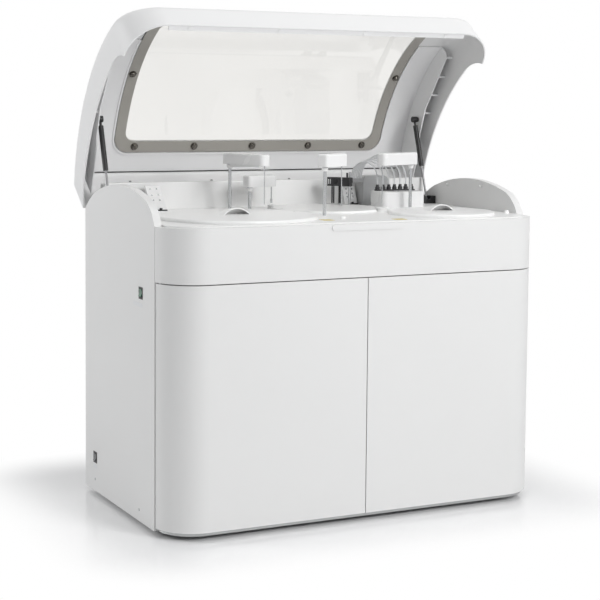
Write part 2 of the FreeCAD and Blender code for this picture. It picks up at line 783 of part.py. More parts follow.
def clear_tube(k):
    """Flexible tube: up from its connector, over in one wide half turn, down to the rail."""
    x, y = connector_places()[k]
    end_x, end_y = RAIL_X + 3 + k * RAIL_PITCH, RAIL_Y + 3
    half_span = distance((x, y), (end_x, end_y)) / 2
    middle = V((x + end_x) / 2, (y + end_y) / 2, TUBE_RISE)
    across = V(y - end_y, end_x - x, 0)
    ring = Part.makeTorus(half_span, TUBE_R, middle, across)
    bend = ring.common(box(-WIDTH, WIDTH, -DEPTH, DEPTH, TUBE_RISE, 2000))
    rise = cyl(x, y, HOUSING[4] + 20, TUBE_RISE, TUBE_R)
    fall = cyl(end_x, end_y, RAIL_TOP, TUBE_RISE, TUBE_R)
    return fuse([rise, bend, fall])


def clear_tubes():
    return group([clear_tube(k) for k in range(CONNECTORS)])


def optics_cover():
    x0, x1, y0, y1, z1 = OPTICS
    block = box(x0, x1, y0, y1, DECK_TOP, z1)
    top = [e for e in block.Edges if abs(e.CenterOfMass.z - z1) < 0.1 and e.Length > 10]
    sides = [e for e in top if abs(e.CenterOfMass.x - x0) < 0.1 or abs(e.CenterOfMass.x - x1) < 0.1]
    block = block.makeFillet(18, sides)
    inner = box(x0 + 3, x1 - 3, y0 + 3, y1 - 3, DECK_TOP - 1, z1 - 22)
    rail = box(RAIL_X, x0, RAIL_Y, RAIL_Y + 6, RAIL_TOP - 12, RAIL_TOP)
    return fuse([block.cut(inner), rail])


NOZZLE_PLACES = (45.0, 54.0)
NOZZLE_R = 1.9
NOZZLE_STEP = 2.8


def wash_station_block():
    """Black comb block, an arc over the reaction pockets, carried by a clamp on the post."""
    ring = cyl(*REACTION_C, 931, 959, POCKET_RING + 9).cut(
        cyl(*REACTION_C, 900, 990, POCKET_RING - 9)
    )
    block = ring.common(sector(REACTION_C, 31, 61, 900, 990))
    windows = []
    for a in (48.1, 50.9, 57.1, 59.3):
        window = box(POCKET_RING - 20, POCKET_RING + 20, -1.8, 1.8, 937, 953)
        window.rotate(V(0, 0, 0), V(0, 0, 1), a)
        window.translate(V(REACTION_C[0], REACTION_C[1], 0))
        windows.append(window)
    clamp = cyl(*WASH_POST, 940, 956, 10)
    x, y = polar(REACTION_C, POCKET_RING + 7, 38)
    web = rod((x, y, 948), (WASH_POST[0], WASH_POST[1], 948), 5)
    inlet = cyl(*polar(REACTION_C, POCKET_RING, 36), 957, 974, 3)
    body = fuse([block.cut(group(windows)), clamp, web, inlet])
    return body.cut(cyl(*WASH_POST, 900, 990, WASH_POST_R + RUN_FIT))


def wash_nozzles():
    """Four suction and fill tubes over each of two pockets."""
    solids = []
    for a in NOZZLE_PLACES:
        for across in (-NOZZLE_STEP, NOZZLE_STEP):
            for along in (-NOZZLE_STEP, NOZZLE_STEP):
                tube = cyl(POCKET_RING + across, along, 876, 931, NOZZLE_R)
                tube.rotate(V(0, 0, 0), V(0, 0, 1), a)
                tube.translate(V(REACTION_C[0], REACTION_C[1], 0))
                solids.append(tube)
    return group(solids)


# Arms
def arm_head(length, low, high):
    """Moulded arm cover: rounded at the probe end, hollow from below."""
    back, nose = -16.0, length + 9.5
    block = box(back, nose, -HEAD_W, HEAD_W, low, high)
    upright = [e for e in block.Edges if abs(e.tangentAt(e.FirstParameter).z) > 0.9]
    block = block.makeFillet(13, [e for e in upright if e.CenterOfMass.x > 0])
    upright = [
        e for e in block.Edges if abs(e.tangentAt(e.FirstParameter).z) > 0.9 and e.CenterOfMass.x < 0
    ]
    block = block.makeFillet(8, upright)
    top = [e for e in block.Edges if abs(e.CenterOfMass.z - high) < 0.1]
    block = block.makeFillet(6, top)
    hollow = box(back + 4, nose - 9, -HEAD_W + 4, HEAD_W - 4, low - 1, high - 6)
    boss = cyl(0, 0, low + 4, high - 4, PILLAR_R + 5)
    seat = cyl(length, 0, low + 4, high - 4, 5)
    return fuse([block.cut(hollow), boss, seat])


def place_arm(shape, pillar, direction):
    shape = shape.copy()
    shape.rotate(V(0, 0, 0), V(0, 0, 1), direction)
    shape.translate(V(pillar[0], pillar[1], 0))
    return shape


def arm_parts(name, pillar, length, rest, low, high, tip, probe_r, lift):
    """Head and probe, which swing on the pillar, and the pillar, which lifts in its guide."""
    foot = DECK_TOP - DECK_T - GUIDE_TOP
    column = cyl(0, 0, foot - 4, high - 6, PILLAR_R)
    collar = cyl(0, 0, foot - 4, foot - FIT, COLLAR_R)
    ledge = cyl(0, 0, low - 2, low + 4 - FIT, PILLAR_R + 4)
    needle = cyl(length, 0, tip + 6, high - 8, probe_r)
    point = Part.makeCone(probe_r * 0.4, probe_r, 6, V(length, 0, tip))
    probe = fuse([needle, point])
    if name == "mixer_arm":
        blade = box(length - 4, length + 4, -0.6, 0.6, tip, tip + 14)
        probe = fuse([cyl(length, 0, tip + 6, high - 8, probe_r), blade])
    head = arm_head(length, low, high)
    head = head.cut(cyl(0, 0, 0, high - 6 + FIT, PILLAR_R + RUN_FIT))
    head = head.cut(cyl(length, 0, 0, high - 8, probe_r))
    pieces = {
        name + "_head": head,
        name + "_pillar": fuse([column, collar, ledge]),
        name + "_probe": probe,
    }
    return {key: place_arm(shape, pillar, rest) for key, shape in pieces.items()}


# Doors and the space behind them
def left_door():
    """Wrap-round door: a pan with a turned-in edge and a round hinge stile."""
    ax, ay = DOOR_AXIS
    deep = 20.0
    outer = cabinet_plan(0, DOOR_BOTTOM, DOOR_TOP)
    band = outer.cut(cabinet_plan(deep, 0, 2000))
    hollow = cabinet_plan(2.5, DOOR_BOTTOM + 2.5, DOOR_TOP - 2.5)
    keep = box(-WIDTH, -SEAM / 2, -DEPTH, ay, 0, 2000)
    room = box(-WIDTH, -SEAM / 2 - 2.5, -DEPTH, ay - HINGE_STILE_R, 0, 2000)
    pan = band.common(keep).cut(hollow.common(room))
    stile = cyl(ax, ay, DOOR_BOTTOM, DOOR_TOP, HINGE_STILE_R)
    stile = stile.fuse(
        box(-WIDTH / 2, ax + HINGE_STILE_R, ay - 20, ay, DOOR_BOTTOM, DOOR_TOP)
    )
    door = fuse([pan, stile.common(cabinet_plan(0, 0, 2000))])
    bores = [
        cyl(ax, ay, DOOR_BOTTOM - 1, DOOR_BOTTOM + 26, DOOR_PIN_R + RUN_FIT),
        cyl(ax, ay, DOOR_TOP - 26, DOOR_TOP + 1, DOOR_PIN_R + RUN_FIT),
    ]
    ribs = []
    for z in (240, 480):
        rib = cabinet_plan(2.0, z, z + 3).cut(cabinet_plan(deep, 0, 2000))
        ribs.append(rib.common(room))
    return fuse([door] + ribs).cut(group(bores))


SHELF_Z = 340.0


def equipment_shelf():
    """Shelf and middle divider between the posts, behind the doors."""
    x = WIDTH / 2 - PANEL_T - 2
    y0, y1 = ARCH_FOOT[0] + 25 + POST_W + FIT, DEPTH / 2 - RAIL_D - 2 * FIT - POST_W
    shelf = box(-x, x, y0, y1, SHELF_Z, SHELF_Z + 3)
    lips = [box(-x, x, y, y + 3, SHELF_Z - 18, SHELF_Z) for y in (y0, y1 - 3)]
    divider = box(-2, 2, y0, y1, BASE_Z + BASE_T, 700)
    return fuse([shelf, divider] + lips)


def container(x, y, width, depth, height):
    """Fluid container with shoulders, neck and screw cap."""
    z0 = BASE_Z + BASE_T
    z1 = z0 + height
    body = round_rect(x - width / 2, x + width / 2, y - depth / 2, y + depth / 2, 18, z0, z1)
    top = [e for e in body.Edges if abs(e.CenterOfMass.z - z1) < 0.1]
    body = body.makeChamfer(12, top)
    return fuse([body, cyl(x, y, z1 - 2, z1 + 14, 20), cyl(x, y, z1 + 12, z1 + 34, 27)])


def fluid_containers():
    first = 135 - WIDTH / 2
    return group([container(first + step, -40, 150, 240, 210) for step in (0, 180, 360)])


def pump_head(x):
    z0 = SHELF_Z + 40
    barrel = cyl(x, -110, z0, z0 + 80, 26)
    return barrel.fuse(box(x - 20, x + 20, -112, -88, z0 + 10, z0 + 70))


def pump_module():
    """Power box on the floor, and the pump and vacuum boxes on the shelf."""
    z0 = BASE_Z + BASE_T
    power = round_rect(120, 480, -110, 180, 8, z0, z0 + 190)
    pump = round_rect(140, 420, -90, 150, 8, SHELF_Z + 3, SHELF_Z + 153)
    vacuum = round_rect(-480, -150, -90, 150, 8, SHELF_Z + 3, SHELF_Z + 133)
    heads = [pump_head(x) for x in (200, 280, 360)]
    return group([power, fuse([pump] + heads), vacuum])


# Hood
def hood_shell():
    shell = hood_block(0).cut(hood_block(HOOD_T))
    below = side_outline(-WIDTH, WIDTH, 0, HOOD_GAP)
    front_low = box(-WIDTH, WIDTH, -DEPTH, ARCH_FOOT[0] - HOOD_GAP + 0.1, 0, HOOD_BOTTOM)
    rear_low = box(-WIDTH, WIDTH, -DEPTH, DEPTH, 0, HOOD_BOTTOM)
    back = box(-WIDTH, WIDTH, DEPTH / 2 - 10, DEPTH, 0, HOOD_BOTTOM + 8)
    sides = below.common(
        group(
            [
                box(-WIDTH, -WIDTH / 2 + PANEL_T + 2, -DEPTH, DEPTH, 0, 2000),
                box(WIDTH / 2 - PANEL_T - 2, WIDTH, -DEPTH, DEPTH, 0, 2000),
            ]
        )
    )
    shell = shell.cut(sides).cut(front_low).cut(rear_low).cut(back)
    opening = round_rect(
        -WINDOW_HALF, WINDOW_HALF, WINDOW_FRONT, WINDOW_REAR, WINDOW_R, 900, 1300
    )
    return shell.cut(opening)


def crown_drum(offset):
    """Drum that follows the crown at this distance under its outer face."""
    return cyl_x(-WIDTH, WIDTH, CROWN_Y, CROWN_Z, CROWN_R - offset)


def crown_sheet(offset, thickness, outline):
    """Sheet that follows the inside of the hood at this offset, cut to an upright outline."""
    return outline.common(crown_drum(offset)).cut(crown_drum(offset + thickness))


def pane_outline(grow):
    lap = PANE_LAP + grow
    return round_rect(
        -WINDOW_HALF - lap,
        WINDOW_HALF + lap,
        WINDOW_FRONT - lap,
        WINDOW_REAR + lap,
        WINDOW_R + 14 + grow,
        900,
        1300,
    )


def window_pane():
    return crown_sheet(HOOD_T + 0.1, PANE_T, pane_outline(0))


def hood_liner():
    """Inner liner round the pane, with a bead along its edge and a side plate at each end."""
    top = HOOD_T + 0.1
    rear_y = DEPTH / 2 - 21
    outline = box(-PLATE_X, PLATE_X, PLATE_FRONT, rear_y, 900, 1300)
    sheet = crown_sheet(top, LINER_T, outline).cut(pane_outline(2))
    bead_outline = pane_outline(7).cut(pane_outline(2)).common(outline)
    bead = crown_sheet(top + LINER_T - 0.5, 4, bead_outline)
    side = [
        (PLATE_FRONT, 1200),
        (PLATE_FRONT, PLATE_LOW + 14),
        (PLATE_FRONT + 14, PLATE_LOW),
        (rear_y - 267, PLATE_LOW - 1),
        (rear_y - 179, 983),
        (rear_y - 89, 940),
        (rear_y, 916),
        (rear_y, 1200),
    ]
    pegs = []
    solids = [sheet, bead]
    inner = crown_drum(top)
    for sx in (-1, 1):
        x = PLATE_X if sx > 0 else -PLATE_X - LINER_T
        solids.append(polygon_prism(side, x, x + LINER_T).common(inner))
        for y, z in PEGS:
            x0 = sx * (PLATE_X + 1)
            x1 = sx * (WIDTH / 2 - HOOD_T - 0.2)
            pegs.append(cyl_x(min(x0, x1), max(x0, x1), y, z, 3.5))
    return fuse(solids + pegs)


PEGS = ((-142.0, 1020.0), (-66.0, 1016.0), (10.0, 1016.0), (84.0, 1012.0))


def hood_front_strip():
    """Inner strip along the bottom of the front lip, with four screw bosses."""
    half = WIDTH / 2 - CORNER_R + 3
    y0 = -DEPTH / 2 + HOOD_T + 0.1
    strip = box(-half, half, y0, y0 + 16, HOOD_BOTTOM + 2, HOOD_BOTTOM + 5)
    riser = box(-half, half, y0, y0 + 3, HOOD_BOTTOM + 2, HOOD_BOTTOM + 30)
    bosses = [cyl(x, y0 + 8.5, HOOD_BOTTOM, HOOD_BOTTOM + 4, 7) for x in BOSS_X]
    return fuse([strip, riser] + bosses)


BOSS_OUTER = WINDOW_HALF - 16
BOSS_X = (-BOSS_OUTER, -143.0, 143.0, BOSS_OUTER)


def nut_places():
    outer = WINDOW_HALF - 34
    inner = outer / 2 + 0.5
    across = (-outer, -inner, 0, inner, outer)
    rows = [(x, WINDOW_REAR + 15) for x in across]
    rows += [(x, WINDOW_FRONT - 17) for x in across]
    return rows + [(-WINDOW_HALF - 20, -8.0), (WINDOW_HALF + 20, -8.0)]


def cap_nut(x, y):
    """Cap nut on the inner face of the pane, square to the crown."""
    r = CROWN_R - HOOD_T - 0.1 - PANE_T
    z = CROWN_Z + r
    washer = cyl(x, CROWN_Y, z - 3, z - 0.2, NUT_R)
    cap = cyl(x, CROWN_Y, z - NUT_H + 4, z - 2, NUT_R - 3)
    crown = Part.makeCone(NUT_R - 6, NUT_R - 3, 4, V(x, CROWN_Y, z - NUT_H))
    nut = fuse([washer, cap, crown])
    tilt = math.degrees(math.asin((y - CROWN_Y) / r))
    nut.rotate(V(0, CROWN_Y, CROWN_Z), V(1, 0, 0), -tilt)
    return nut


def ball_stud():
    """Left stud: a ball on a stem and a flange, held by the liner's side plate."""
    y, z = BALL_CLOSED
    foot = -PLATE_X + 0.05
    stem = cyl_x(foot, -STRUT_X, y, z, 3.5)
    flange = cyl_x(foot, foot + 3, y, z, 8)
    return fuse([Part.makeSphere(BALL_R, V(-STRUT_X, y, z)), stem, flange])


def hood_fasteners():
    nuts = [cap_nut(x, y) for x, y in nut_places()]
    return group(nuts + [ball_stud(), mirror_x(ball_stud())])


def hood_hinge_leaves():
    leaves = []
    for x in (-HINGE_X, HINGE_X):
        y0 = DEPTH / 2 + 0.1
        plate = box(x - HINGE_HALF, x + HINGE_HALF, y0, y0 + 3, HOOD_BOTTOM + 9, PIN_Z + 62)
        parts = [plate]
        for x0, x1 in ((x - HINGE_HALF, x - 15), (x + 15, x + HINGE_HALF)):
            parts.append(knuckle(x0, x1))
            parts.append(box(x0, x1, DEPTH / 2 + 0.6, DEPTH / 2 + 3.1, PIN_Z, HOOD_BOTTOM + 10))
        leaf = fuse(parts)
        leaves.append(leaf.cut(pin_bore(x - 60, x + 60, HINGE_PIN_R + RUN_FIT)))
    return group(leaves)


# Struts, drawn in the open position
def strut_axis():
    y0, z0 = open_point(*BALL_CLOSED)
    y1, z1 = BLOCK_BALL
    length = math.hypot(y1 - y0, z1 - z0)
    return V(0, (y1 - y0) / length, (z1 - z0) / length), length


def strut_cylinder():
    """Left tube with its end gland and the ball socket."""
    y0, z0 = open_point(*BALL_CLOSED)
    origin = V(-STRUT_X, y0, z0)
    axis, length = strut_axis()

    def along(a, b, r):
        return Part.makeCylinder(r, b - a, origin + axis * a, axis)

    tube = along(CYL_START, CYL_END, CYL_R).cut(along(CYL_START + 4, CYL_END - 5, CYL_R - 1.5))
    tube = tube.cut(along(CYL_END - 6, CYL_END + 1, ROD_R + RUN_FIT))
    neck = along(BALL_R + 2, CYL_START + 1, 4)
    socket = cyl_x(origin.x - 8, origin.x + 8, y0, z0, BALL_R + 4)
    mouth = cyl_x(origin.x - 9, origin.x, y0, z0, 4.6)
    body = fuse([tube, neck, socket])
    return body.cut(Part.makeSphere(BALL_R + RUN_FIT, origin)).cut(mouth)


def strut_rod():
    y0, z0 = open_point(*BALL_CLOSED)
    origin = V(-STRUT_X, y0, z0)
    axis, length = strut_axis()
    start = CYL_END - 22
    bar = Part.makeCylinder(ROD_R, length - start, origin + axis * start, axis)
    piston = Part.makeCylinder(CYL_R - 1.5 - RUN_FIT, 7, origin + axis * start, axis)
    return fuse([bar, piston, Part.makeSphere(5, origin + axis * length)])


def strut_end_blocks():
    """Black hollow blocks on the side panels that take the lower ends of the struts."""
    y, z = BLOCK_BALL
    blocks = []
    for side in (-1, 1):
        x_wall = WIDTH / 2 - PANEL_T - 0.1
        block = box(STRUT_X - 11, x_wall, y - 16, y + 30, DECK_TOP + 0.1, z + 9)
        room = box(STRUT_X - 8, STRUT_X + 8, y - 8, y + 24, DECK_TOP + 4, z + 12)
        mouth = box(STRUT_X - 8, STRUT_X + 8, y - 20, y - 4, z - 2, z + 12)
        block = block.cut(room).cut(mouth)
        blocks.append(block if side > 0 else mirror_x(block))
    return group(blocks)


# Rocker switches on the left side
ROCKER_TILT = 6.0
TRUNNION_R = 1.6


def pivot(y, z, radius, half):
    """Round bar along the rocker's axis."""
    return Part.makeCylinder(radius, 2 * half, V(-WIDTH / 2 + 6, y - half, z), V(0, 1, 0))


def bezel(y, z):
    x0 = -WIDTH / 2 - 1.2
    frame = box(x0, -WIDTH / 2 + 14, y - 12.7, y + 12.7, z - 14.7, z + 14.7)
    flange = box(x0, -WIDTH / 2 - 0.05, y - 15, y + 15, z - 17, z + 17)
    well = box(x0 - 1, -WIDTH / 2 + 12, y - 10, y + 10, z - 12, z + 12)
    return fuse([frame, flange]).cut(well).cut(pivot(y, z, TRUNNION_R + RUN_FIT, 11.2))


def rocker(y, z):
    """Rocker with two inclined faces, tipped on its middle trunnions."""
    x = -WIDTH / 2
    plan = [(x + 8, z - 7), (x - 3.5, z - 10.8), (x - 1.0, z), (x - 3.5, z + 10.8), (x + 8, z + 7)]
    wire = Part.makePolygon([V(a, y - 9.6, b) for a, b in plan + [plan[0]]])
    body = Part.Face(wire).extrude(V(0, 19.2, 0))
    body.rotate(V(x + 6, y, z), V(0, 1, 0), ROCKER_TILT)
    return fuse([body, pivot(y, z, TRUNNION_R, 10.9)])


def main():
    left_panel = side_panel()
    left_holed = left_panel.cut(group([switch_hole(*p) for p in SWITCHES.values()]))
    export("left_side_panel", left_holed)
    export("right_side_panel", mirror_x(left_panel))
    export("base_frame", base_frame())
    export("levelling_feet", levelling_feet())
    export("rear_panel", rear_panel())
    export("upper_frame", upper_frame())
    export("hinge_pins", hinge_pins())
    export("front_fascia", front_fascia())
    export("work_deck", work_deck().cut(cup_drains()))
    export("rear_deck_wall", rear_deck_wall())
    export("deck_guides", deck_guides())
    export("disc_tubs", disc_tubs())
    export("left_disc_cover", left_disc_cover())
    export("right_disc_cover", right_disc_cover())
    export("fixed_disc_covers", fixed_disc_covers())
    export("wash_cups", wash_cups())
    export("reagent_carousel", reagent_carousel())
    export("reagent_bottles", reagent_bottles())
    export("reaction_carousel", reaction_carousel())
    export("sample_carousel", sample_carousel())
    export("sample_tubes", sample_tubes())
    export("reader_brackets", reader_brackets())
    export("reader_latches", reader_latches())
    export("tube_housing", tube_housing())
    export("tube_connectors", tube_connectors())
    export("clear_tubes", clear_tubes())
    export("optics_cover", optics_cover())
    export("wash_station_block", wash_station_block())
    export("wash_nozzles", wash_nozzles())
    for arm in ARMS:
        for name, shape in arm_parts(*arm).items():
            export(name, shape)
    door = left_door()
    export("left_door", door)
    export("right_door", mirror_x(door))
    export("equipment_shelf", equipment_shelf())
    export("fluid_containers", fluid_containers())
    export("pump_module", pump_module())
    export("hood_shell", turned_open(hood_shell()))
    export("window_pane", turned_open(window_pane()))
    export("hood_liner", turned_open(hood_liner()))
    export("hood_front_strip", turned_open(hood_front_strip()))
    export("hood_fasteners", turned_open(hood_fasteners()))
    export("hood_hinge_leaves", turned_open(hood_hinge_leaves()))
    for name, shape in (("cylinder", strut_cylinder()), ("rod", strut_rod())):
        export("left_strut_" + name, shape)
        export("right_strut_" + name, mirror_x(shape))
    export("strut_end_blocks", strut_end_blocks())
    export("switch_bezels", group([bezel(*p) for p in SWITCHES.values()]))
    for name, place in SWITCHES.items():
        export(name + "_rocker", rocker(*place))


main()
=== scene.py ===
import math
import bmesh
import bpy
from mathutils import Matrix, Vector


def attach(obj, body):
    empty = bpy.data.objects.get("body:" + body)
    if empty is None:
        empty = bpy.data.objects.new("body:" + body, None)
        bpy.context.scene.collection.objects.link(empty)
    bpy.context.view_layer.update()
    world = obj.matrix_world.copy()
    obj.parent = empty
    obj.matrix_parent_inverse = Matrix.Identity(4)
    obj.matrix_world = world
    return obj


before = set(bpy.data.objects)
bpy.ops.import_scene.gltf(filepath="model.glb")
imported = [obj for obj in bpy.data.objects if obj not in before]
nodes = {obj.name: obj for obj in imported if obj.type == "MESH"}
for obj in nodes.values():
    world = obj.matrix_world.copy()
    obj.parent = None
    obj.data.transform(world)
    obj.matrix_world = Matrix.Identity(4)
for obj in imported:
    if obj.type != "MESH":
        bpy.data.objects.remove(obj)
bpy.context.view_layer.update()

# %% [markdown]
# # A chemistry analyzer in a studio
# A floor-standing laboratory machine: white powder-coated sheet metal round a working deck, under a
# crowned hood with a large window. The frame already holds every solid piece at its real place. This
# lesson gives each one its finish, adds the small things that solids leave out, such as screws, seals
# and bare label fields, and sets up the light and the camera.

# %% [markdown]
# ## Sizes that several steps share
# The hood turns about pins at its rear edge. It is easier to place things on it as if it were shut, and
# then to turn them open with it, so the pins' place and the opening angle are kept here once.

# %% Shared sizes
MID_X = 0.00229  # the middle of the cabinet and of the hood
PIN = Vector((0.0, 0.29276, 0.847))  # on the axis of the hood's hinges
OPEN_ANGLE = math.radians(52.2)
CROWN_MIDDLE = Vector((0.0, -0.01974, 0.468))  # on the axis of the crown's drum, with the hood shut
DECK_TOP = 0.864
SIDES = {"left": -1, "right": 1}
hood_open = Matrix.Translation(PIN) @ Matrix.Rotation(-OPEN_ANGLE, 4, "X") @ Matrix.Translation(-PIN)
print("the hood opens by", round(math.degrees(OPEN_ANGLE), 1), "degrees")

# %% [markdown]
# ## Effects that many finishes share
# Powder coat, moulded plastic and ground steel all carry a fine texture and faint changes of tone. One
# node group makes a fine grain and a slow mottle from the piece's own coordinates, and another finds
# smudges from handling. They put out plain numbers, and each material decides what to do with them.


# %% Helpers for node groups
def new_group(name, inputs, outputs):
    tree = bpy.data.node_groups.new(name, "ShaderNodeTree")
    for label, value in inputs:
        socket = tree.interface.new_socket(name=label, in_out="INPUT", socket_type="NodeSocketFloat")
        socket.default_value = value
    for label in outputs:
        tree.interface.new_socket(name=label, in_out="OUTPUT", socket_type="NodeSocketFloat")
    return tree, tree.nodes.new("NodeGroupInput"), tree.nodes.new("NodeGroupOutput")


def add_math(tree, operation, a, b=None):
    node = tree.nodes.new("ShaderNodeMath")
    node.operation = operation
    for socket, value in zip(node.inputs, (a, b)):
        if isinstance(value, (int, float)):
            socket.default_value = value
        elif value is not None:
            tree.links.new(value, socket)
    return node.outputs[0]


# %% Fine grain and slow mottle
def make_grain_group():
    tree, source, result = new_group("fine_grain", [("Scale", 900.0), ("Patch", 3.0)], ["Grain", "Mottle"])
    coordinates = tree.nodes.new("ShaderNodeTexCoord")
    for label, key, detail in (("Grain", "Scale", 2.0), ("Mottle", "Patch", 4.0)):
        noise = tree.nodes.new("ShaderNodeTexNoise")
        noise.inputs["Detail"].default_value = detail
        noise.inputs["Roughness"].default_value = 0.55
        tree.links.new(coordinates.outputs["Object"], noise.inputs["Vector"])
        tree.links.new(source.outputs[key], noise.inputs["Scale"])
        tree.links.new(noise.outputs["Fac"], result.inputs[label])
    return tree


grain_group = make_grain_group()
print("shared effect:", grain_group.name)


# %% Faint smudges
SMUDGE_FROM = 0.52  # noise below this leaves no smudge
SMUDGE_GAIN = 5.0


def make_smudge_group():
    tree, source, result = new_group("handling_smudges", [("Scale", 9.0), ("Amount", 0.5)], ["Smudge"])
    coordinates = tree.nodes.new("ShaderNodeTexCoord")
    noise = tree.nodes.new("ShaderNodeTexNoise")
    noise.inputs["Detail"].default_value = 6.0
    noise.inputs["Distortion"].default_value = 0.8
    tree.links.new(coordinates.outputs["Object"], noise.inputs["Vector"])
    tree.links.new(source.outputs["Scale"], noise.inputs["Scale"])
    above = add_math(tree, "SUBTRACT", noise.outputs["Fac"], SMUDGE_FROM)
    scaled = add_math(tree, "MULTIPLY", above, SMUDGE_GAIN)
    clipped = add_math(tree, "MINIMUM", add_math(tree, "MAXIMUM", scaled, 0.0), 1.0)
    weighted = add_math(tree, "MULTIPLY", clipped, source.outputs["Amount"])
    tree.links.new(weighted, result.inputs["Smudge"])
    return tree


smudge_group = make_smudge_group()
print("shared effect:", smudge_group.name)

# %% [markdown]
# ## Finishes
# A finish here is one Principled shader. Its colour moves a little with the mottle, its roughness with
# the smudges, and its surface with the grain, so a white panel is never one flat white. What stays the
# same all over, such as the coat of a powder paint, is set on the shader itself.


# %% The maker of a solid finish
SMUDGE_ROUGHNESS = 0.06  # a full smudge adds this to the roughness
GRAIN_DEPTH = 0.0004
COAT_ROUGHNESS = 0.15


def tint(colour, factor):
    return tuple(min(1.0, c * factor) for c in colour) + (1.0,)


def add_relief(tree, height, strength, depth):
    relief = tree.nodes.new("ShaderNodeBump")
    relief.inputs["Strength"].default_value = strength
    relief.inputs["Distance"].default_value = depth
    tree.links.new(height, relief.inputs["Height"])
    tree.links.new(relief.outputs["Normal"], tree.nodes["Principled BSDF"].inputs["Normal"])


def solid_finish(name, colour, rough, grain, relief, tone, coat=0.0, metal=0.0):
    material = bpy.data.materials.new(name)
    material.use_nodes = True
    tree = material.node_tree
    shader = tree.nodes["Principled BSDF"]
    grains = tree.nodes.new("ShaderNodeGroup")
    grains.node_tree = grain_group
    grains.inputs["Scale"].default_value = grain
    smudges = tree.nodes.new("ShaderNodeGroup")
    smudges.node_tree = smudge_group
    mix = tree.nodes.new("ShaderNodeMix")
    mix.data_type = "RGBA"
    mix.inputs["A"].default_value = tint(colour, 1.0 - tone)
    mix.inputs["B"].default_value = tint(colour, 1.0 + tone)
    tree.links.new(grains.outputs["Mottle"], mix.inputs["Factor"])
    tree.links.new(mix.outputs["Result"], shader.inputs["Base Color"])
    spread = add_math(tree, "MULTIPLY", smudges.outputs["Smudge"], SMUDGE_ROUGHNESS)
    tree.links.new(add_math(tree, "ADD", spread, rough), shader.inputs["Roughness"])
    add_relief(tree, grains.outputs["Grain"], relief, GRAIN_DEPTH)
    shader.inputs["Metallic"].default_value = metal
    shader.inputs["Coat Weight"].default_value = coat
    shader.inputs["Coat Roughness"].default_value = COAT_ROUGHNESS
    return material


finishes = {}


def add_finishes(maker, table):
    for label, values in table.items():
        finishes[label] = maker(label.replace(" ", "_"), *values)


# %% Whites, greys and blacks
SOLID = {  # colour, roughness, scale of the grain, its relief, change of tone, and coat and metal if any
    "cabinet white": ((0.77, 0.77, 0.765), 0.38, 700, 0.10, 0.012),
    "hood white": ((0.80, 0.80, 0.80), 0.42, 700, 0.08, 0.012),
    "deck white": ((0.87, 0.87, 0.865), 0.34, 800, 0.06, 0.012),
    "cover white": ((0.87, 0.87, 0.865), 0.30, 900, 0.05, 0.012),
    "arm white": ((0.86, 0.86, 0.86), 0.26, 900, 0.04, 0.010, 0.2),
    "liner grey": ((0.84, 0.84, 0.845), 0.45, 800, 0.07, 0.012),
    "black plastic": ((0.018, 0.018, 0.02), 0.42, 900, 0.12, 0.20),
    "black paint": ((0.006, 0.006, 0.007), 0.42, 900, 0.06, 0.006),
    "module grey": ((0.16, 0.165, 0.18), 0.40, 700, 0.10, 0.05),
    "milky plastic": ((0.66, 0.68, 0.70), 0.38, 600, 0.05, 0.03),
    "bottle plastic": ((0.62, 0.58, 0.48), 0.35, 600, 0.05, 0.03),
    "switch green": ((0.01, 0.12, 0.055), 0.22, 900, 0.03, 0.06, 0.3),
    "switch grey": ((0.05, 0.055, 0.06), 0.25, 900, 0.03, 0.06, 0.3),
    "foot rubber": ((0.02, 0.02, 0.02), 0.70, 500, 0.30, 0.15),
    "label field": ((0.74, 0.75, 0.76), 0.30, 900, 0.02, 0.01),
    "yellow field": ((0.62, 0.50, 0.10), 0.35, 900, 0.03, 0.03),
    "dark cap": ((0.12, 0.11, 0.095), 0.20, 900, 0.05, 0.06, 0.4, 0.8),
    "grey plastic": ((0.46, 0.465, 0.47), 0.35, 700, 0.06, 0.03),
    # painted shade: the tape's grey-brown stands for the shaded inside of the hood seen through the window's
    # margin
    "sealing tape": ((0.37, 0.355, 0.325), 0.30, 500, 0.06, 0.03),
}
add_finishes(solid_finish, SOLID)
print("solid finishes:", len(SOLID))


# %% Metals: brushed, plated and ground
BRUSH_SCALE = 400.0
BRUSH_DEPTH = 0.0002


def brushed_finish(name, colour, rough, stretch, strength):
    material = solid_finish(name, colour, rough, 900, 0.02, 0.04, metal=1.0)
    tree = material.node_tree
    coordinates = tree.nodes.new("ShaderNodeTexCoord")
    mapping = tree.nodes.new("ShaderNodeMapping")
    mapping.inputs["Scale"].default_value = stretch
    noise = tree.nodes.new("ShaderNodeTexNoise")
    noise.inputs["Scale"].default_value = BRUSH_SCALE
    noise.inputs["Detail"].default_value = 3.0
    tree.links.new(coordinates.outputs["Object"], mapping.inputs["Vector"])
    tree.links.new(mapping.outputs["Vector"], noise.inputs["Vector"])
    add_relief(tree, noise.outputs["Fac"], strength, BRUSH_DEPTH)
    return material


BRUSHED = {  # colour, roughness, stretch of the brush marks in x, y and z, and their relief
    "dark steel": ((0.20, 0.20, 0.205), 0.34, (1.0, 1.0, 0.04), 0.10),
    "ground steel": ((0.50, 0.51, 0.52), 0.26, (1.0, 1.0, 0.04), 0.25),
    "plated steel": ((0.42, 0.43, 0.43), 0.38, (0.05, 1.0, 1.0), 0.15),
    "turned aluminium": ((0.56, 0.57, 0.58), 0.30, (1.0, 1.0, 0.1), 0.25),
}
add_finishes(brushed_finish, BRUSHED)
print("metals:", len(BRUSHED))


# %% Clear plastics and the window
def clear_finish(name, colour, rough, index, let_through):
    material = solid_finish(name, colour, rough, 40, 0.01, 0.004)
    shader = material.node_tree.nodes["Principled BSDF"]
    shader.inputs["Transmission Weight"].default_value = let_through
    shader.inputs["IOR"].default_value = index
    return material


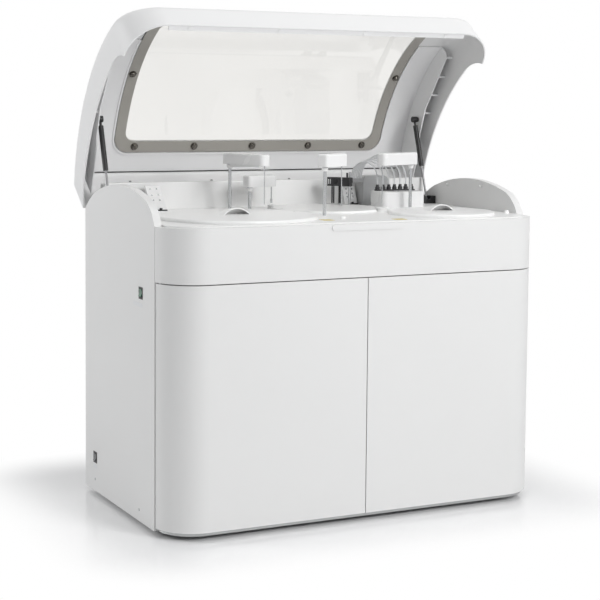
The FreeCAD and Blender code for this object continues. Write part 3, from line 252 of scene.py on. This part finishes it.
CLEAR = {  # colour, roughness, refractive index, share of the light that it lets through
    "clear plastic": ((0.93, 0.94, 0.95), 0.06, 1.45, 1.0),
    "tube plastic": ((0.86, 0.87, 0.88), 0.30, 1.38, 0.45),
    "window sheet": ((0.88, 0.872, 0.85), 0.03, 1.49, 1.0),
}
add_finishes(clear_finish, CLEAR)
print("clear finishes:", len(CLEAR))

# %% [markdown]
# ## Finishes onto the frame
# Each node of the frame keeps its shape and takes one finish.

# %% Which piece has which finish
finish_of = {
    "cabinet white": "left_side_panel right_side_panel front_fascia left_door right_door rear_panel",
    "hood white": "hood_shell",
    "deck white": "work_deck rear_deck_wall",
    "cover white": "left_disc_cover right_disc_cover fixed_disc_covers wash_cups"
    " reagent_carousel sample_carousel",
    "arm white": "reader_brackets tube_housing"
    " reagent_arm_left_head mixer_arm_head reagent_arm_middle_head sample_arm_head",
    "liner grey": "hood_liner hood_front_strip",
    "black plastic": "reader_latches tube_connectors wash_station_block wash_nozzles strut_end_blocks"
    " switch_bezels",
    "dark cap": "hood_fasteners",
    "module grey": "pump_module",
    "milky plastic": "fluid_containers",
    "bottle plastic": "reagent_bottles",
    "switch green": "upper_rocker",
    "switch grey": "lower_rocker",
    "foot rubber": "levelling_feet",
    "dark steel": "left_strut_rod right_strut_rod",
    "ground steel": "hinge_pins deck_guides hood_hinge_leaves"
    " reagent_arm_left_pillar mixer_arm_pillar reagent_arm_middle_pillar sample_arm_pillar"
    " reagent_arm_left_probe mixer_arm_probe reagent_arm_middle_probe sample_arm_probe",
    "plated steel": "base_frame upper_frame equipment_shelf",
    "black paint": "left_strut_cylinder right_strut_cylinder",
    "turned aluminium": "disc_tubs",
    "clear plastic": "reaction_carousel sample_tubes",
    "tube plastic": "clear_tubes",
    "grey plastic": "optics_cover",
    "window sheet": "window_pane",
}


def wear(mesh, finish):
    mesh.materials.clear()
    mesh.materials.append(finishes[finish])


dressed = set()
for finish, names in finish_of.items():
    for name in names.split():
        wear(nodes[name].data, finish)
        dressed.add(name)
print("dressed", len(dressed), "of", len(nodes), "missing:", sorted(set(nodes) - dressed))

# %% [markdown]
# ## Small pieces on the panels
# A maker prints a bare field on a panel as a thin film with round corners. Each one here is an outline
# of straight sides and quarter turns, given a thickness along the panel's own normal.


# %% Helpers for new pieces
def put(name, mesh, finish, body):
    wear(mesh, finish)
    piece = bpy.data.objects.new(name, mesh)
    bpy.context.scene.collection.objects.link(piece)
    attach(piece, body)
    return piece


def put_drawn(name, bm, finish, body):
    mesh = bpy.data.meshes.new(name)
    bm.to_mesh(mesh)
    bm.free()
    return put(name, mesh, finish, body)


def slab(corners, push):
    bm = bmesh.new()
    face = bm.faces.new([bm.verts.new(corner) for corner in corners])
    grown = bmesh.ops.extrude_face_region(bm, geom=[face])
    moved = [v for v in grown["geom"] if isinstance(v, bmesh.types.BMVert)]
    bmesh.ops.translate(bm, verts=moved, vec=push)
    bmesh.ops.recalc_face_normals(bm, faces=bm.faces)
    return bm


# %% Outlines
def rounded_outline(width, height, radius, arc_steps=6, side_steps=1):
    arcs = []
    for quarter, (sx, sy) in enumerate(((1, 1), (-1, 1), (-1, -1), (1, -1))):
        x, y = sx * (width / 2 - radius), sy * (height / 2 - radius)
        angles = [math.pi / 2 * (quarter + step / arc_steps) for step in range(arc_steps + 1)]
        arcs.append([(x + radius * math.cos(angle), y + radius * math.sin(angle)) for angle in angles])
    points = []
    shares = [step / side_steps for step in range(1, side_steps)]
    for arc, following in zip(arcs, arcs[1:] + arcs[:1]):
        (x0, y0), (x1, y1) = arc[-1], following[0]
        points += arc + [(x0 + (x1 - x0) * share, y0 + (y1 - y0) * share) for share in shares]
    return points


def rectangle(width, height):
    return [(sx * width / 2, sy * height / 2) for sx, sy in ((-1, -1), (1, -1), (1, 1), (-1, 1))]


# %% Films with round corners
FILM_THICK = 0.0004
FILM_GAP = 0.00005  # a film starts this far off its panel, so that no two faces share a place
LEFT_FACE = -0.60271 - FILM_GAP
DECK_FACE = DECK_TOP + FILM_GAP
ON_LEFT = ((0, -1, 0), (0, 0, 1))
ON_DECK = ((1, 0, 0), (0, 1, 0))


def film(name, centre, plane, size, radius, finish):
    across, up = Vector(plane[0]), Vector(plane[1])
    corners = [Vector(centre) + across * x + up * y for x, y in rounded_outline(*size, radius)]
    put_drawn(name, slab(corners, across.cross(up) * FILM_THICK), finish, "cabinet")


films = [
    ("upper_switch_field", (LEFT_FACE, -0.1712, 0.631), ON_LEFT, (0.070, 0.012), 0.002, "label field"),
    ("lower_switch_field", (LEFT_FACE, 0.1952, 0.088), ON_LEFT, (0.030, 0.010), 0.002, "label field"),
    ("deck_field_middle", (-0.0777, -0.3080, DECK_FACE), ON_DECK, (0.034, 0.040), 0.003, "yellow field"),
    ("deck_field_right", (0.1350, -0.3560, DECK_FACE), ON_DECK, (0.038, 0.034), 0.003, "yellow field"),
]
for entry in films:
    film(*entry)
print("films:", len(films))

# %% [markdown]
# ## The painted-shade tape round the window
# The clear sheet is fixed inside the hood by cap nuts through its margin. A grey-brown tape lies on that
# margin. Its dark colour is painted shade for the shaded inside of the hood seen through the sheet, so it
# reads as a dark band round the bright window. It is drawn in the closed hood's plan, laid on the drum that
# the crown follows, and then turned open.

# %% Tape ring of painted shade
WINDOW_SIZE = (0.886, 0.488)
WINDOW_MIDDLE = (MID_X, -0.07074)
WINDOW_CORNER = 0.032
CORNER_GROWTH = 0.4  # how much of the tape's width its corners gain
TAPE_WIDTH = 0.033
TAPE_DEPTHS = (0.0001, 0.0006)  # of its two faces, under the clear sheet
SHEET_INSIDE = 0.6179  # from the drum's axis to the inner face of the sheet
SIDE_STEPS = 20  # parts of a straight side, so that it follows the drum


def on_drum(x, y, radius):
    away = y - CROWN_MIDDLE.y
    return hood_open @ Vector((x, y, CROWN_MIDDLE.z + math.sqrt(radius * radius - away * away)))


def window_tape():
    bm = bmesh.new()
    rows = []
    for beyond in (0.0, TAPE_WIDTH / 2, TAPE_WIDTH):
        width, height = (size + 2 * beyond for size in WINDOW_SIZE)
        corner = WINDOW_CORNER + beyond * CORNER_GROWTH
        plan = rounded_outline(width, height, corner, side_steps=SIDE_STEPS)
        plan = [(x + WINDOW_MIDDLE[0], y + WINDOW_MIDDLE[1]) for x, y in plan]
        rows.append([[bm.verts.new(on_drum(x, y, SHEET_INSIDE - depth)) for x, y in plan]
                     for depth in TAPE_DEPTHS])
    inner, middle, outer = rows
    count = len(plan)
    for k in range(count):
        n = (k + 1) % count
        for near, far in ((inner, middle), (middle, outer)):
            bm.faces.new((near[0][k], far[0][k], far[0][n], near[0][n]))
            bm.faces.new((near[1][n], far[1][n], far[1][k], near[1][k]))
        bm.faces.new((inner[0][n], inner[1][n], inner[1][k], inner[0][k]))
        bm.faces.new((outer[0][k], outer[1][k], outer[1][n], outer[0][n]))
    bmesh.ops.recalc_face_normals(bm, faces=bm.faces)
    # the ring takes the painted-shade finish, a dark band where the hood's inside lies in shade
    return put_drawn("window_tape", bm, "sealing tape", "hood")


print("tape faces:", len(window_tape().data.polygons))

# %% [markdown]
# ## Turned and bent trim on the deck
# Each probe arm has a white collar where its pillar meets the head. The knob on the deck and the pegs in
# the side panels are turned too. One helper spins a half section round an axis, another gives a flat
# outline a thickness and breaks its edges.


# %% Helpers for turned and bent pieces
SHARP_FROM = math.radians(40)
BROKEN_EDGE = 0.0006


def turned(name, section, place, axis, finish, body, steps=32):
    place, axis = Vector(place), Vector(axis)
    side = axis.orthogonal().normalized()
    other = axis.cross(side)
    angles = [2 * math.pi * step / steps for step in range(steps)]
    bm = bmesh.new()
    rings = []
    for radius, height in section:
        middle = place + axis * height
        if radius == 0:
            rings.append([bm.verts.new(middle)] * steps)
        else:
            outs = [side * math.cos(angle) + other * math.sin(angle) for angle in angles]
            rings.append([bm.verts.new(middle + out * radius) for out in outs])
    for low, high in zip(rings, rings[1:] + rings[:1]):
        for k in range(steps):
            n = (k + 1) % steps
            corners = list(dict.fromkeys((low[k], low[n], high[n], high[k])))
            if len(corners) > 2:
                bm.faces.new(corners)
    bmesh.ops.recalc_face_normals(bm, faces=bm.faces)
    mesh = put_drawn(name, bm, finish, body).data
    mesh.shade_smooth()
    mesh.set_sharp_from_angle(angle=SHARP_FROM)


def bent(name, outline, origin, across, up, thick, finish, body):
    across, up = Vector(across).normalized(), Vector(up).normalized()
    normal = across.cross(up)
    start = Vector(origin) - normal * thick / 2
    bm = slab([start + across * a + up * b for a, b in outline], normal * thick)
    bmesh.ops.bevel(bm, geom=bm.edges[:], offset=BROKEN_EDGE, segments=2, affect="EDGES", clamp_overlap=True)
    put_drawn(name, bm, finish, body)


# %% Where the pillars and heads stand
def node_box(name):
    corners = [v.co for v in nodes[name].data.vertices]
    low = Vector([min(c[i] for c in corners) for i in range(3)])
    high = Vector([max(c[i] for c in corners) for i in range(3)])
    return low, high


def axis_of(name):
    low, high = node_box(name)
    return Vector(((low.x + high.x) / 2, (low.y + high.y) / 2, 0.0))


ARMS = ("reagent_arm_left", "mixer_arm", "reagent_arm_middle", "sample_arm")
COLLAR_DROP = 0.0022  # from the head's lowest point to the top of its collar
collar = [(0.0052, 0.0), (0.0052, -0.011), (0.0074, -0.011), (0.0088, -0.0095), (0.0100, -0.002),
          (0.0096, 0.0)]
for arm in ARMS:
    place = axis_of(arm + "_pillar")
    place.z = node_box(arm + "_head")[0].z - COLLAR_DROP
    turned(arm + "_collar", collar, place, (0, 0, 1), "arm white", arm + "_lift")
print("collars:", len(ARMS))

# %% Board and guard under the left arm
BOARD_INSET = 0.012  # from the axes of the pillar and of the probe
BOARD_THICK = 0.022
BOARD_GAP = 0.0002
GUARD_SIZE = (0.034, 0.009)
GUARD_THICK = 0.0022
GUARD_DROP = 0.0110
pillar = axis_of("reagent_arm_left_pillar")
probe = axis_of("reagent_arm_left_probe")
along = (probe - pillar).normalized()
reach = (probe - pillar).length
pillar.z = probe.z = node_box("reagent_arm_left_head")[0].z
upward = Vector((0, 0, 1))
board_end = reach - BOARD_INSET
board = [(BOARD_INSET, 0.0), (board_end, 0.0), (board_end - 0.002, -0.003), (BOARD_INSET, -0.010)]
bent("left_arm_board", board, pillar - upward * BOARD_GAP, along, upward, BOARD_THICK, "arm white",
     "reagent_arm_left_swing")
bent("left_probe_guard", rectangle(*GUARD_SIZE), probe - upward * GUARD_DROP, along.cross(upward), along,
     GUARD_THICK, "grey plastic", "reagent_arm_left_swing")
print("left arm trim follows its swing")

# %% The knob on the deck and the pegs in the side panels
knob = [(0.0, 0.0), (0.0085, 0.0), (0.0085, 0.003), (0.0070, 0.0058), (0.0040, 0.0070), (0.0, 0.0072)]
turned("deck_knob_middle", knob, (-0.0077, -0.2752, DECK_TOP), (0, 0, 1), "cover white", "cabinet")
PANEL_INSIDE = 0.583  # from the middle to a side panel's inner face
PEG_PLACES = {"front": (-0.0927, 0.936), "rear": (0.1063, 0.932)}
peg = [(0.0, 0.0), (0.0060, 0.0), (0.0060, 0.0015), (0.0042, 0.0022), (0.0040, 0.0075), (0.0034, 0.0082),
       (0.0, 0.0082)]
for side, sign in SIDES.items():
    for end, (y, z) in PEG_PLACES.items():
        turned(f"{side}_panel_peg_{end}", peg, (MID_X + sign * PANEL_INSIDE, y, z), (-sign, 0, 0),
               "cabinet white", "cabinet", steps=20)
print("knobs: 1, pegs:", len(SIDES) * len(PEG_PLACES))

# %% Painted shadow of the gap along the rear edge of the hood's liner, as a thin dark strip
GAP_SHADOW_SIZE = (1.112, 0.0026)
GAP_SHADOW_THICK = 0.0022
gap_shadow_place = hood_open @ Vector((MID_X, 0.2656, 1.0158))
gap_shadow_up = hood_open.to_3x3() @ upward
# painted shadow: a thin black rubber-finished strip stands for the shadow in the gap between the liner and
# the hood's rear wall
bent("liner_gap_shadow_strip", rectangle(*GAP_SHADOW_SIZE), gap_shadow_place, (1, 0, 0), gap_shadow_up, GAP_SHADOW_THICK, "foot rubber",
     "hood")
print("seal rides the hood")

# %% [markdown]
# ## Screws
# The same small pan-head screw holds the panels, hinges and brackets. One Geometry Nodes tree makes a
# head with a cross recess once, and stands a copy on each point, turned to that point's own direction.


# %% The screw tree
HEAD_SIDES = 24
TOP_SHARE = 0.72  # of the head's radius, as are the two of the recess
RECESS_LENGTH = 1.05
RECESS_WIDTH = 0.22


def make_screw_tree():
    tree = bpy.data.node_groups.new("pan_head_screws", "GeometryNodeTree")
    face = tree.interface
    face.new_socket(name="Points", in_out="INPUT", socket_type="NodeSocketGeometry")
    for label, value in (("Head Radius", 0.004), ("Head Height", 0.002)):
        face.new_socket(name=label, in_out="INPUT", socket_type="NodeSocketFloat").default_value = value
    face.new_socket(name="Finish", in_out="INPUT", socket_type="NodeSocketMaterial")
    face.new_socket(name="Screws", in_out="OUTPUT", socket_type="NodeSocketGeometry")
    given = tree.nodes.new("NodeGroupInput")
    result = tree.nodes.new("NodeGroupOutput")
    head = tree.nodes.new("GeometryNodeMeshCone")
    head.inputs["Vertices"].default_value = HEAD_SIDES
    top = add_math(tree, "MULTIPLY", given.outputs["Head Radius"], TOP_SHARE)
    tree.links.new(top, head.inputs["Radius Top"])
    tree.links.new(given.outputs["Head Radius"], head.inputs["Radius Bottom"])
    tree.links.new(given.outputs["Head Height"], head.inputs["Depth"])
    cut = tree.nodes.new("GeometryNodeMeshBoolean")
    cut.operation = "DIFFERENCE"
    tree.links.new(head.outputs["Mesh"], cut.inputs["Mesh 1"])
    long = add_math(tree, "MULTIPLY", given.outputs["Head Radius"], RECESS_LENGTH)
    thin = add_math(tree, "MULTIPLY", given.outputs["Head Radius"], RECESS_WIDTH)
    for sizes in ((long, thin), (thin, long)):
        size = tree.nodes.new("ShaderNodeCombineXYZ")
        tree.links.new(sizes[0], size.inputs["X"])
        tree.links.new(sizes[1], size.inputs["Y"])
        tree.links.new(given.outputs["Head Height"], size.inputs["Z"])
        bar = tree.nodes.new("GeometryNodeMeshCube")
        tree.links.new(size.outputs[0], bar.inputs["Size"])
        lifted = tree.nodes.new("GeometryNodeTransform")
        offset = tree.nodes.new("ShaderNodeCombineXYZ")
        tree.links.new(given.outputs["Head Height"], offset.inputs["Z"])
        tree.links.new(offset.outputs[0], lifted.inputs["Translation"])
        tree.links.new(bar.outputs["Mesh"], lifted.inputs["Geometry"])
        tree.links.new(lifted.outputs["Geometry"], cut.inputs["Mesh 2"])
    aim = tree.nodes.new("GeometryNodeInputNamedAttribute")
    aim.data_type = "FLOAT_VECTOR"
    aim.inputs["Name"].default_value = "aim"
    turn = tree.nodes.new("FunctionNodeAlignRotationToVector")
    turn.axis = "Z"
    tree.links.new(aim.outputs["Attribute"], turn.inputs["Vector"])
    stand = tree.nodes.new("GeometryNodeInstanceOnPoints")
    tree.links.new(given.outputs["Points"], stand.inputs["Points"])
    tree.links.new(cut.outputs["Mesh"], stand.inputs["Instance"])
    tree.links.new(turn.outputs["Rotation"], stand.inputs["Rotation"])
    real = tree.nodes.new("GeometryNodeRealizeInstances")
    tree.links.new(stand.outputs["Instances"], real.inputs["Geometry"])
    finish = tree.nodes.new("GeometryNodeSetMaterial")
    tree.links.new(real.outputs["Geometry"], finish.inputs["Geometry"])
    tree.links.new(given.outputs["Finish"], finish.inputs["Material"])
    tree.links.new(finish.outputs["Geometry"], result.inputs["Screws"])
    return tree


screw_tree = make_screw_tree()
print("tree:", screw_tree.name, "with", len(screw_tree.nodes), "nodes")


# %% Standing screws on points
def grow(name, tree, points, aim, values, finish, body):
    mesh = bpy.data.meshes.new(name + "_points")
    mesh.from_pydata([tuple(p) for p in points], [], [])
    mesh.attributes.new("aim", "FLOAT_VECTOR", "POINT").data.foreach_set("vector", list(aim) * len(points))
    carrier = bpy.data.objects.new(name + "_points", mesh)
    bpy.context.scene.collection.objects.link(carrier)
    modifier = carrier.modifiers.new("grow", "NODES")
    modifier.node_group = tree
    for item in tree.interface.items_tree:
        if item.in_out == "INPUT" and item.name in values:
            modifier[item.identifier] = values[item.name]
        if item.in_out == "INPUT" and item.name == "Finish":
            modifier[item.identifier] = finishes[finish]
    bpy.context.view_layer.update()
    ready = carrier.evaluated_get(bpy.context.evaluated_depsgraph_get())
    result = bpy.data.meshes.new_from_object(ready)
    result.name = name
    bpy.data.objects.remove(carrier)
    return put(name, result, finish, body)


def screws(name, points, aim, size, finish, body, matrix=Matrix()):
    radius, height = size
    aim = (matrix.to_3x3() @ Vector(aim)).normalized()
    seated = [matrix @ Vector(point) + aim * height / 2 for point in points]
    values = {"Head Radius": radius, "Head Height": height}
    grow(name, screw_tree, seated, aim, values, finish, body)


# %% Screws on panels, hinges and the hood's wall
PANEL_SCREW = (0.0055, 0.0018)  # radius and height of the head
HINGE_SCREW = (0.0045, 0.0018)
REAR_SCREW = (0.0050, 0.0022)
WALL_SCREW = (0.0045, 0.0020)
PANEL_FACE = 0.605  # from the middle to a side panel's outer face
PANEL_SCREW_SUNK = 0.0022
REAR_FACE = 0.28476
HINGE_XS = [MID_X + sign * 0.38 + step for sign in SIDES.values() for step in (-0.030, 0.030)]
REAR_XS = [MID_X + x for x in (-0.56, -0.28, 0.0, 0.28, 0.56)]
WALL_XS = [MID_X + x for x in (-0.42, -0.14, 0.14, 0.42)]
BACK, FRONT = (0, 1, 0), (0, -1, 0)
for side, sign in SIDES.items():
    x = MID_X + sign * (PANEL_FACE - PANEL_SCREW_SUNK)
    panel_points = [(x, 0.19626, 0.048), (x, -0.18274, 0.045)]
    screws(side + "_panel_screws", panel_points, (sign, 0, 0), PANEL_SCREW, "plated steel", "cabinet")
leaf_points = [(x, 0.28846, z) for x in HINGE_XS for z in (0.806, 0.827)]
screws("cabinet_hinge_screws", leaf_points, BACK, HINGE_SCREW, "ground steel", "cabinet")
leaf_points = [(x, 0.28836, z) for x in HINGE_XS for z in (0.884, 0.900)]
screws("hood_hinge_screws", leaf_points, BACK, HINGE_SCREW, "ground steel", "hood", hood_open)
rear_points = [(x, REAR_FACE, z) for x in REAR_XS for z in (0.045, 0.425, 0.800)]
screws("rear_panel_screws", rear_points, BACK, REAR_SCREW, "plated steel", "cabinet")
wall_points = [(x, 0.28126, 0.985) for x in WALL_XS]
screws("hood_wall_screws", wall_points, FRONT, WALL_SCREW, "plated steel", "hood", hood_open)
print("screws stand on hinges, panels and hood")


# %% Screws on the sloped face of each reader bracket
BRACKET_SCREW = (0.0030, 0.0012)
SLOPED = (0.2, 0.95)  # the upward part of a sloped face's normal lies between these
COLUMNS, ROWS = (0.28, 0.72), (0.42, 0.62, 0.86)  # shares of the face's width and height


def sloped_face(mesh, sign):
    planes = {}
    for face in mesh.polygons:
        if face.center.x * sign > 0 and SLOPED[0] < face.normal.z < SLOPED[1]:
            planes.setdefault(tuple(round(v, 2) for v in face.normal), []).append(face)
    widest = max(planes, key=lambda key: sum(face.area for face in planes[key]))
    corners = [mesh.vertices[i].co for face in planes[widest] for i in face.vertices]
    return Vector(widest).normalized(), corners


def span(corners, direction):
    reached = [corner.dot(direction) for corner in corners]
    return min(reached), max(reached) - min(reached)


for side, sign in SIDES.items():
    normal, corners = sloped_face(nodes["reader_brackets"].data, sign)
    up = (upward - normal * normal.z).normalized()
    across = up.cross(normal)
    (start, width), (foot, height) = span(corners, across), span(corners, up)
    level = normal * corners[0].dot(normal)
    dots = [across * (start + width * column) + up * (foot + height * row) + level
            for column in COLUMNS for row in ROWS]
    screws(side + "_bracket_screws", dots, normal, BRACKET_SCREW, "ground steel", "cabinet")
    print(side, "bracket faces", [round(v, 2) for v in normal], "size", round(width, 3), round(height, 3))

# %% [markdown]
# ## The floor, the light and the camera
# The floor is white. Near the machine it shows the contact shadow and a faint reflection, and away from
# it the camera sees it as plain white, so it runs into the background with no horizon. The main soft
# lamp stands in front to the right, one on the left lights the side panel, and one hangs above.

# %% Which rays see plain white
def any_ray(tree, *kinds):
    paths = tree.nodes.new("ShaderNodeLightPath")
    found = paths.outputs[kinds[0]]
    for kind in kinds[1:]:
        found = add_math(tree, "MAXIMUM", found, paths.outputs[kind])
    return found


def mix_shaders(tree, share, first, second, end):
    mix = tree.nodes.new("ShaderNodeMixShader")
    tree.links.new(share, mix.inputs["Fac"])
    tree.links.new(first.outputs[0], mix.inputs[1])
    tree.links.new(second.outputs[0], mix.inputs[2])
    tree.links.new(mix.outputs[0], end.inputs["Surface"])


WHITE = (1.0, 1.0, 1.0, 1.0)

# %% Floor
FLOOR_HALF = 30.0
FOOTPRINT = (0.60, 0.42)  # half the ground that the machine stands on, in x and y
FADE = (0.03, 0.36)  # how far from it the floor begins to turn white, and where it is white
floor_mesh = bpy.data.meshes.new("studio_floor")
floor_mesh.from_pydata([(x, y, 0) for x, y in rectangle(2 * FLOOR_HALF, 2 * FLOOR_HALF)], [], [(0, 1, 2, 3)])
floor = bpy.data.objects.new("studio_floor", floor_mesh)
bpy.context.scene.collection.objects.link(floor)
floor_finish = bpy.data.materials.new("studio_floor")
floor_finish.use_nodes = True
floor_tree = floor_finish.node_tree
floor_shader = floor_tree.nodes["Principled BSDF"]
floor_shader.inputs["Base Color"].default_value = (0.93, 0.93, 0.935, 1.0)
floor_shader.inputs["Roughness"].default_value = 0.16
spot = floor_tree.nodes.new("ShaderNodeTexCoord")
apart = floor_tree.nodes.new("ShaderNodeSeparateXYZ")
floor_tree.links.new(spot.outputs["Object"], apart.inputs[0])
squares = []
for axis, half in zip("XY", FOOTPRINT):
    past = add_math(floor_tree, "SUBTRACT", add_math(floor_tree, "ABSOLUTE", apart.outputs[axis]), half)
    squares.append(add_math(floor_tree, "POWER", add_math(floor_tree, "MAXIMUM", past, 0.0), 2.0))
away = add_math(floor_tree, "SQRT", add_math(floor_tree, "ADD", *squares))
fade = floor_tree.nodes.new("ShaderNodeMapRange")
fade.interpolation_type = "SMOOTHSTEP"
fade.inputs["From Min"].default_value, fade.inputs["From Max"].default_value = FADE
floor_tree.links.new(away, fade.inputs["Value"])
seen = any_ray(floor_tree, "Is Camera Ray", "Is Transmission Ray")
share = add_math(floor_tree, "MULTIPLY", fade.outputs["Result"], seen)
plain_white = floor_tree.nodes.new("ShaderNodeEmission")
plain_white.inputs["Color"].default_value = WHITE
mix_shaders(floor_tree, share, floor_shader, plain_white, floor_tree.nodes["Material Output"])
floor_mesh.materials.append(floor_finish)
print("floor:", 2 * FLOOR_HALF, "m square")

# %% World
world = bpy.data.worlds.new("studio")
bpy.context.scene.world = world
world.use_nodes = True
sky = world.node_tree
sky.nodes.clear()
seen = any_ray(sky, "Is Camera Ray", "Is Transmission Ray", "Is Glossy Ray")
fill = sky.nodes.new("ShaderNodeBackground")
fill.inputs["Color"].default_value = (0.97, 0.985, 1.0, 1.0)
fill.inputs["Strength"].default_value = 0.30
plain = sky.nodes.new("ShaderNodeBackground")
plain.inputs["Color"].default_value = WHITE
mix_shaders(sky, seen, fill, plain, sky.nodes.new("ShaderNodeOutputWorld"))
print("world:", world.name)


# %% Lamps
def soft_lamp(name, place, aim, size, power):
    data = bpy.data.lights.new(name, "AREA")
    data.shape = "RECTANGLE"
    data.size, data.size_y = size
    data.energy = power
    lamp = bpy.data.objects.new(name, data)
    lamp.location = place
    lamp.rotation_euler = (Vector(aim) - Vector(place)).to_track_quat("-Z", "Y").to_euler()
    bpy.context.scene.collection.objects.link(lamp)


soft_lamp("key_lamp", (1.6, -4.3, 2.9), (0.0, 0.0, 0.8), (1.8, 1.6), 130.0)
soft_lamp("left_lamp", (-3.8, 2.0, 2.0), (-0.4, 0.0, 0.7), (1.6, 1.6), 60.0)
soft_lamp("top_lamp", (0.2, -1.0, 4.4), (0.0, 0.0, 0.9), (3.0, 2.0), 40.0)

# %% Camera at the photograph's angle
LOOK = math.radians(27.301)
DOWN = math.radians(4.604)
ROLL = math.radians(-0.584)
FOCAL_PIXELS = 1574.5
MIDDLE = (325.92, 219.52)  # where the lens looks, in pixels of the photograph
FRAME = 600.0  # width and height of the photograph in pixels
SENSOR = 36.0
STANDPOINT = Vector((-2.1532 + MID_X, -4.2540 - 0.06474, 1.2290))
forward = Vector((math.sin(LOOK) * math.cos(DOWN), math.cos(LOOK) * math.cos(DOWN), -math.sin(DOWN)))
right = Vector((math.cos(LOOK), -math.sin(LOOK), 0.0))
down = forward.cross(right)
right_rolled = math.cos(ROLL) * right + math.sin(ROLL) * down
down_rolled = -math.sin(ROLL) * right + math.cos(ROLL) * down
camera_data = bpy.data.cameras.new("photo_camera")
camera_data.sensor_width = SENSOR
camera_data.lens = SENSOR * FOCAL_PIXELS / FRAME
camera_data.shift_x = (FRAME / 2 - MIDDLE[0]) / FRAME
camera_data.shift_y = (MIDDLE[1] - FRAME / 2) / FRAME
camera = bpy.data.objects.new("photo_camera", camera_data)
columns = Matrix((right_rolled, -down_rolled, -forward)).transposed().to_4x4()
camera.matrix_world = Matrix.Translation(STANDPOINT) @ columns
bpy.context.scene.collection.objects.link(camera)
bpy.context.scene.camera = camera
bpy.context.scene.view_settings.view_transform = "Standard"
print("camera lens", round(camera_data.lens, 2), "mm at", [round(v, 3) for v in STANDPOINT])

# %% The end
print("the end")
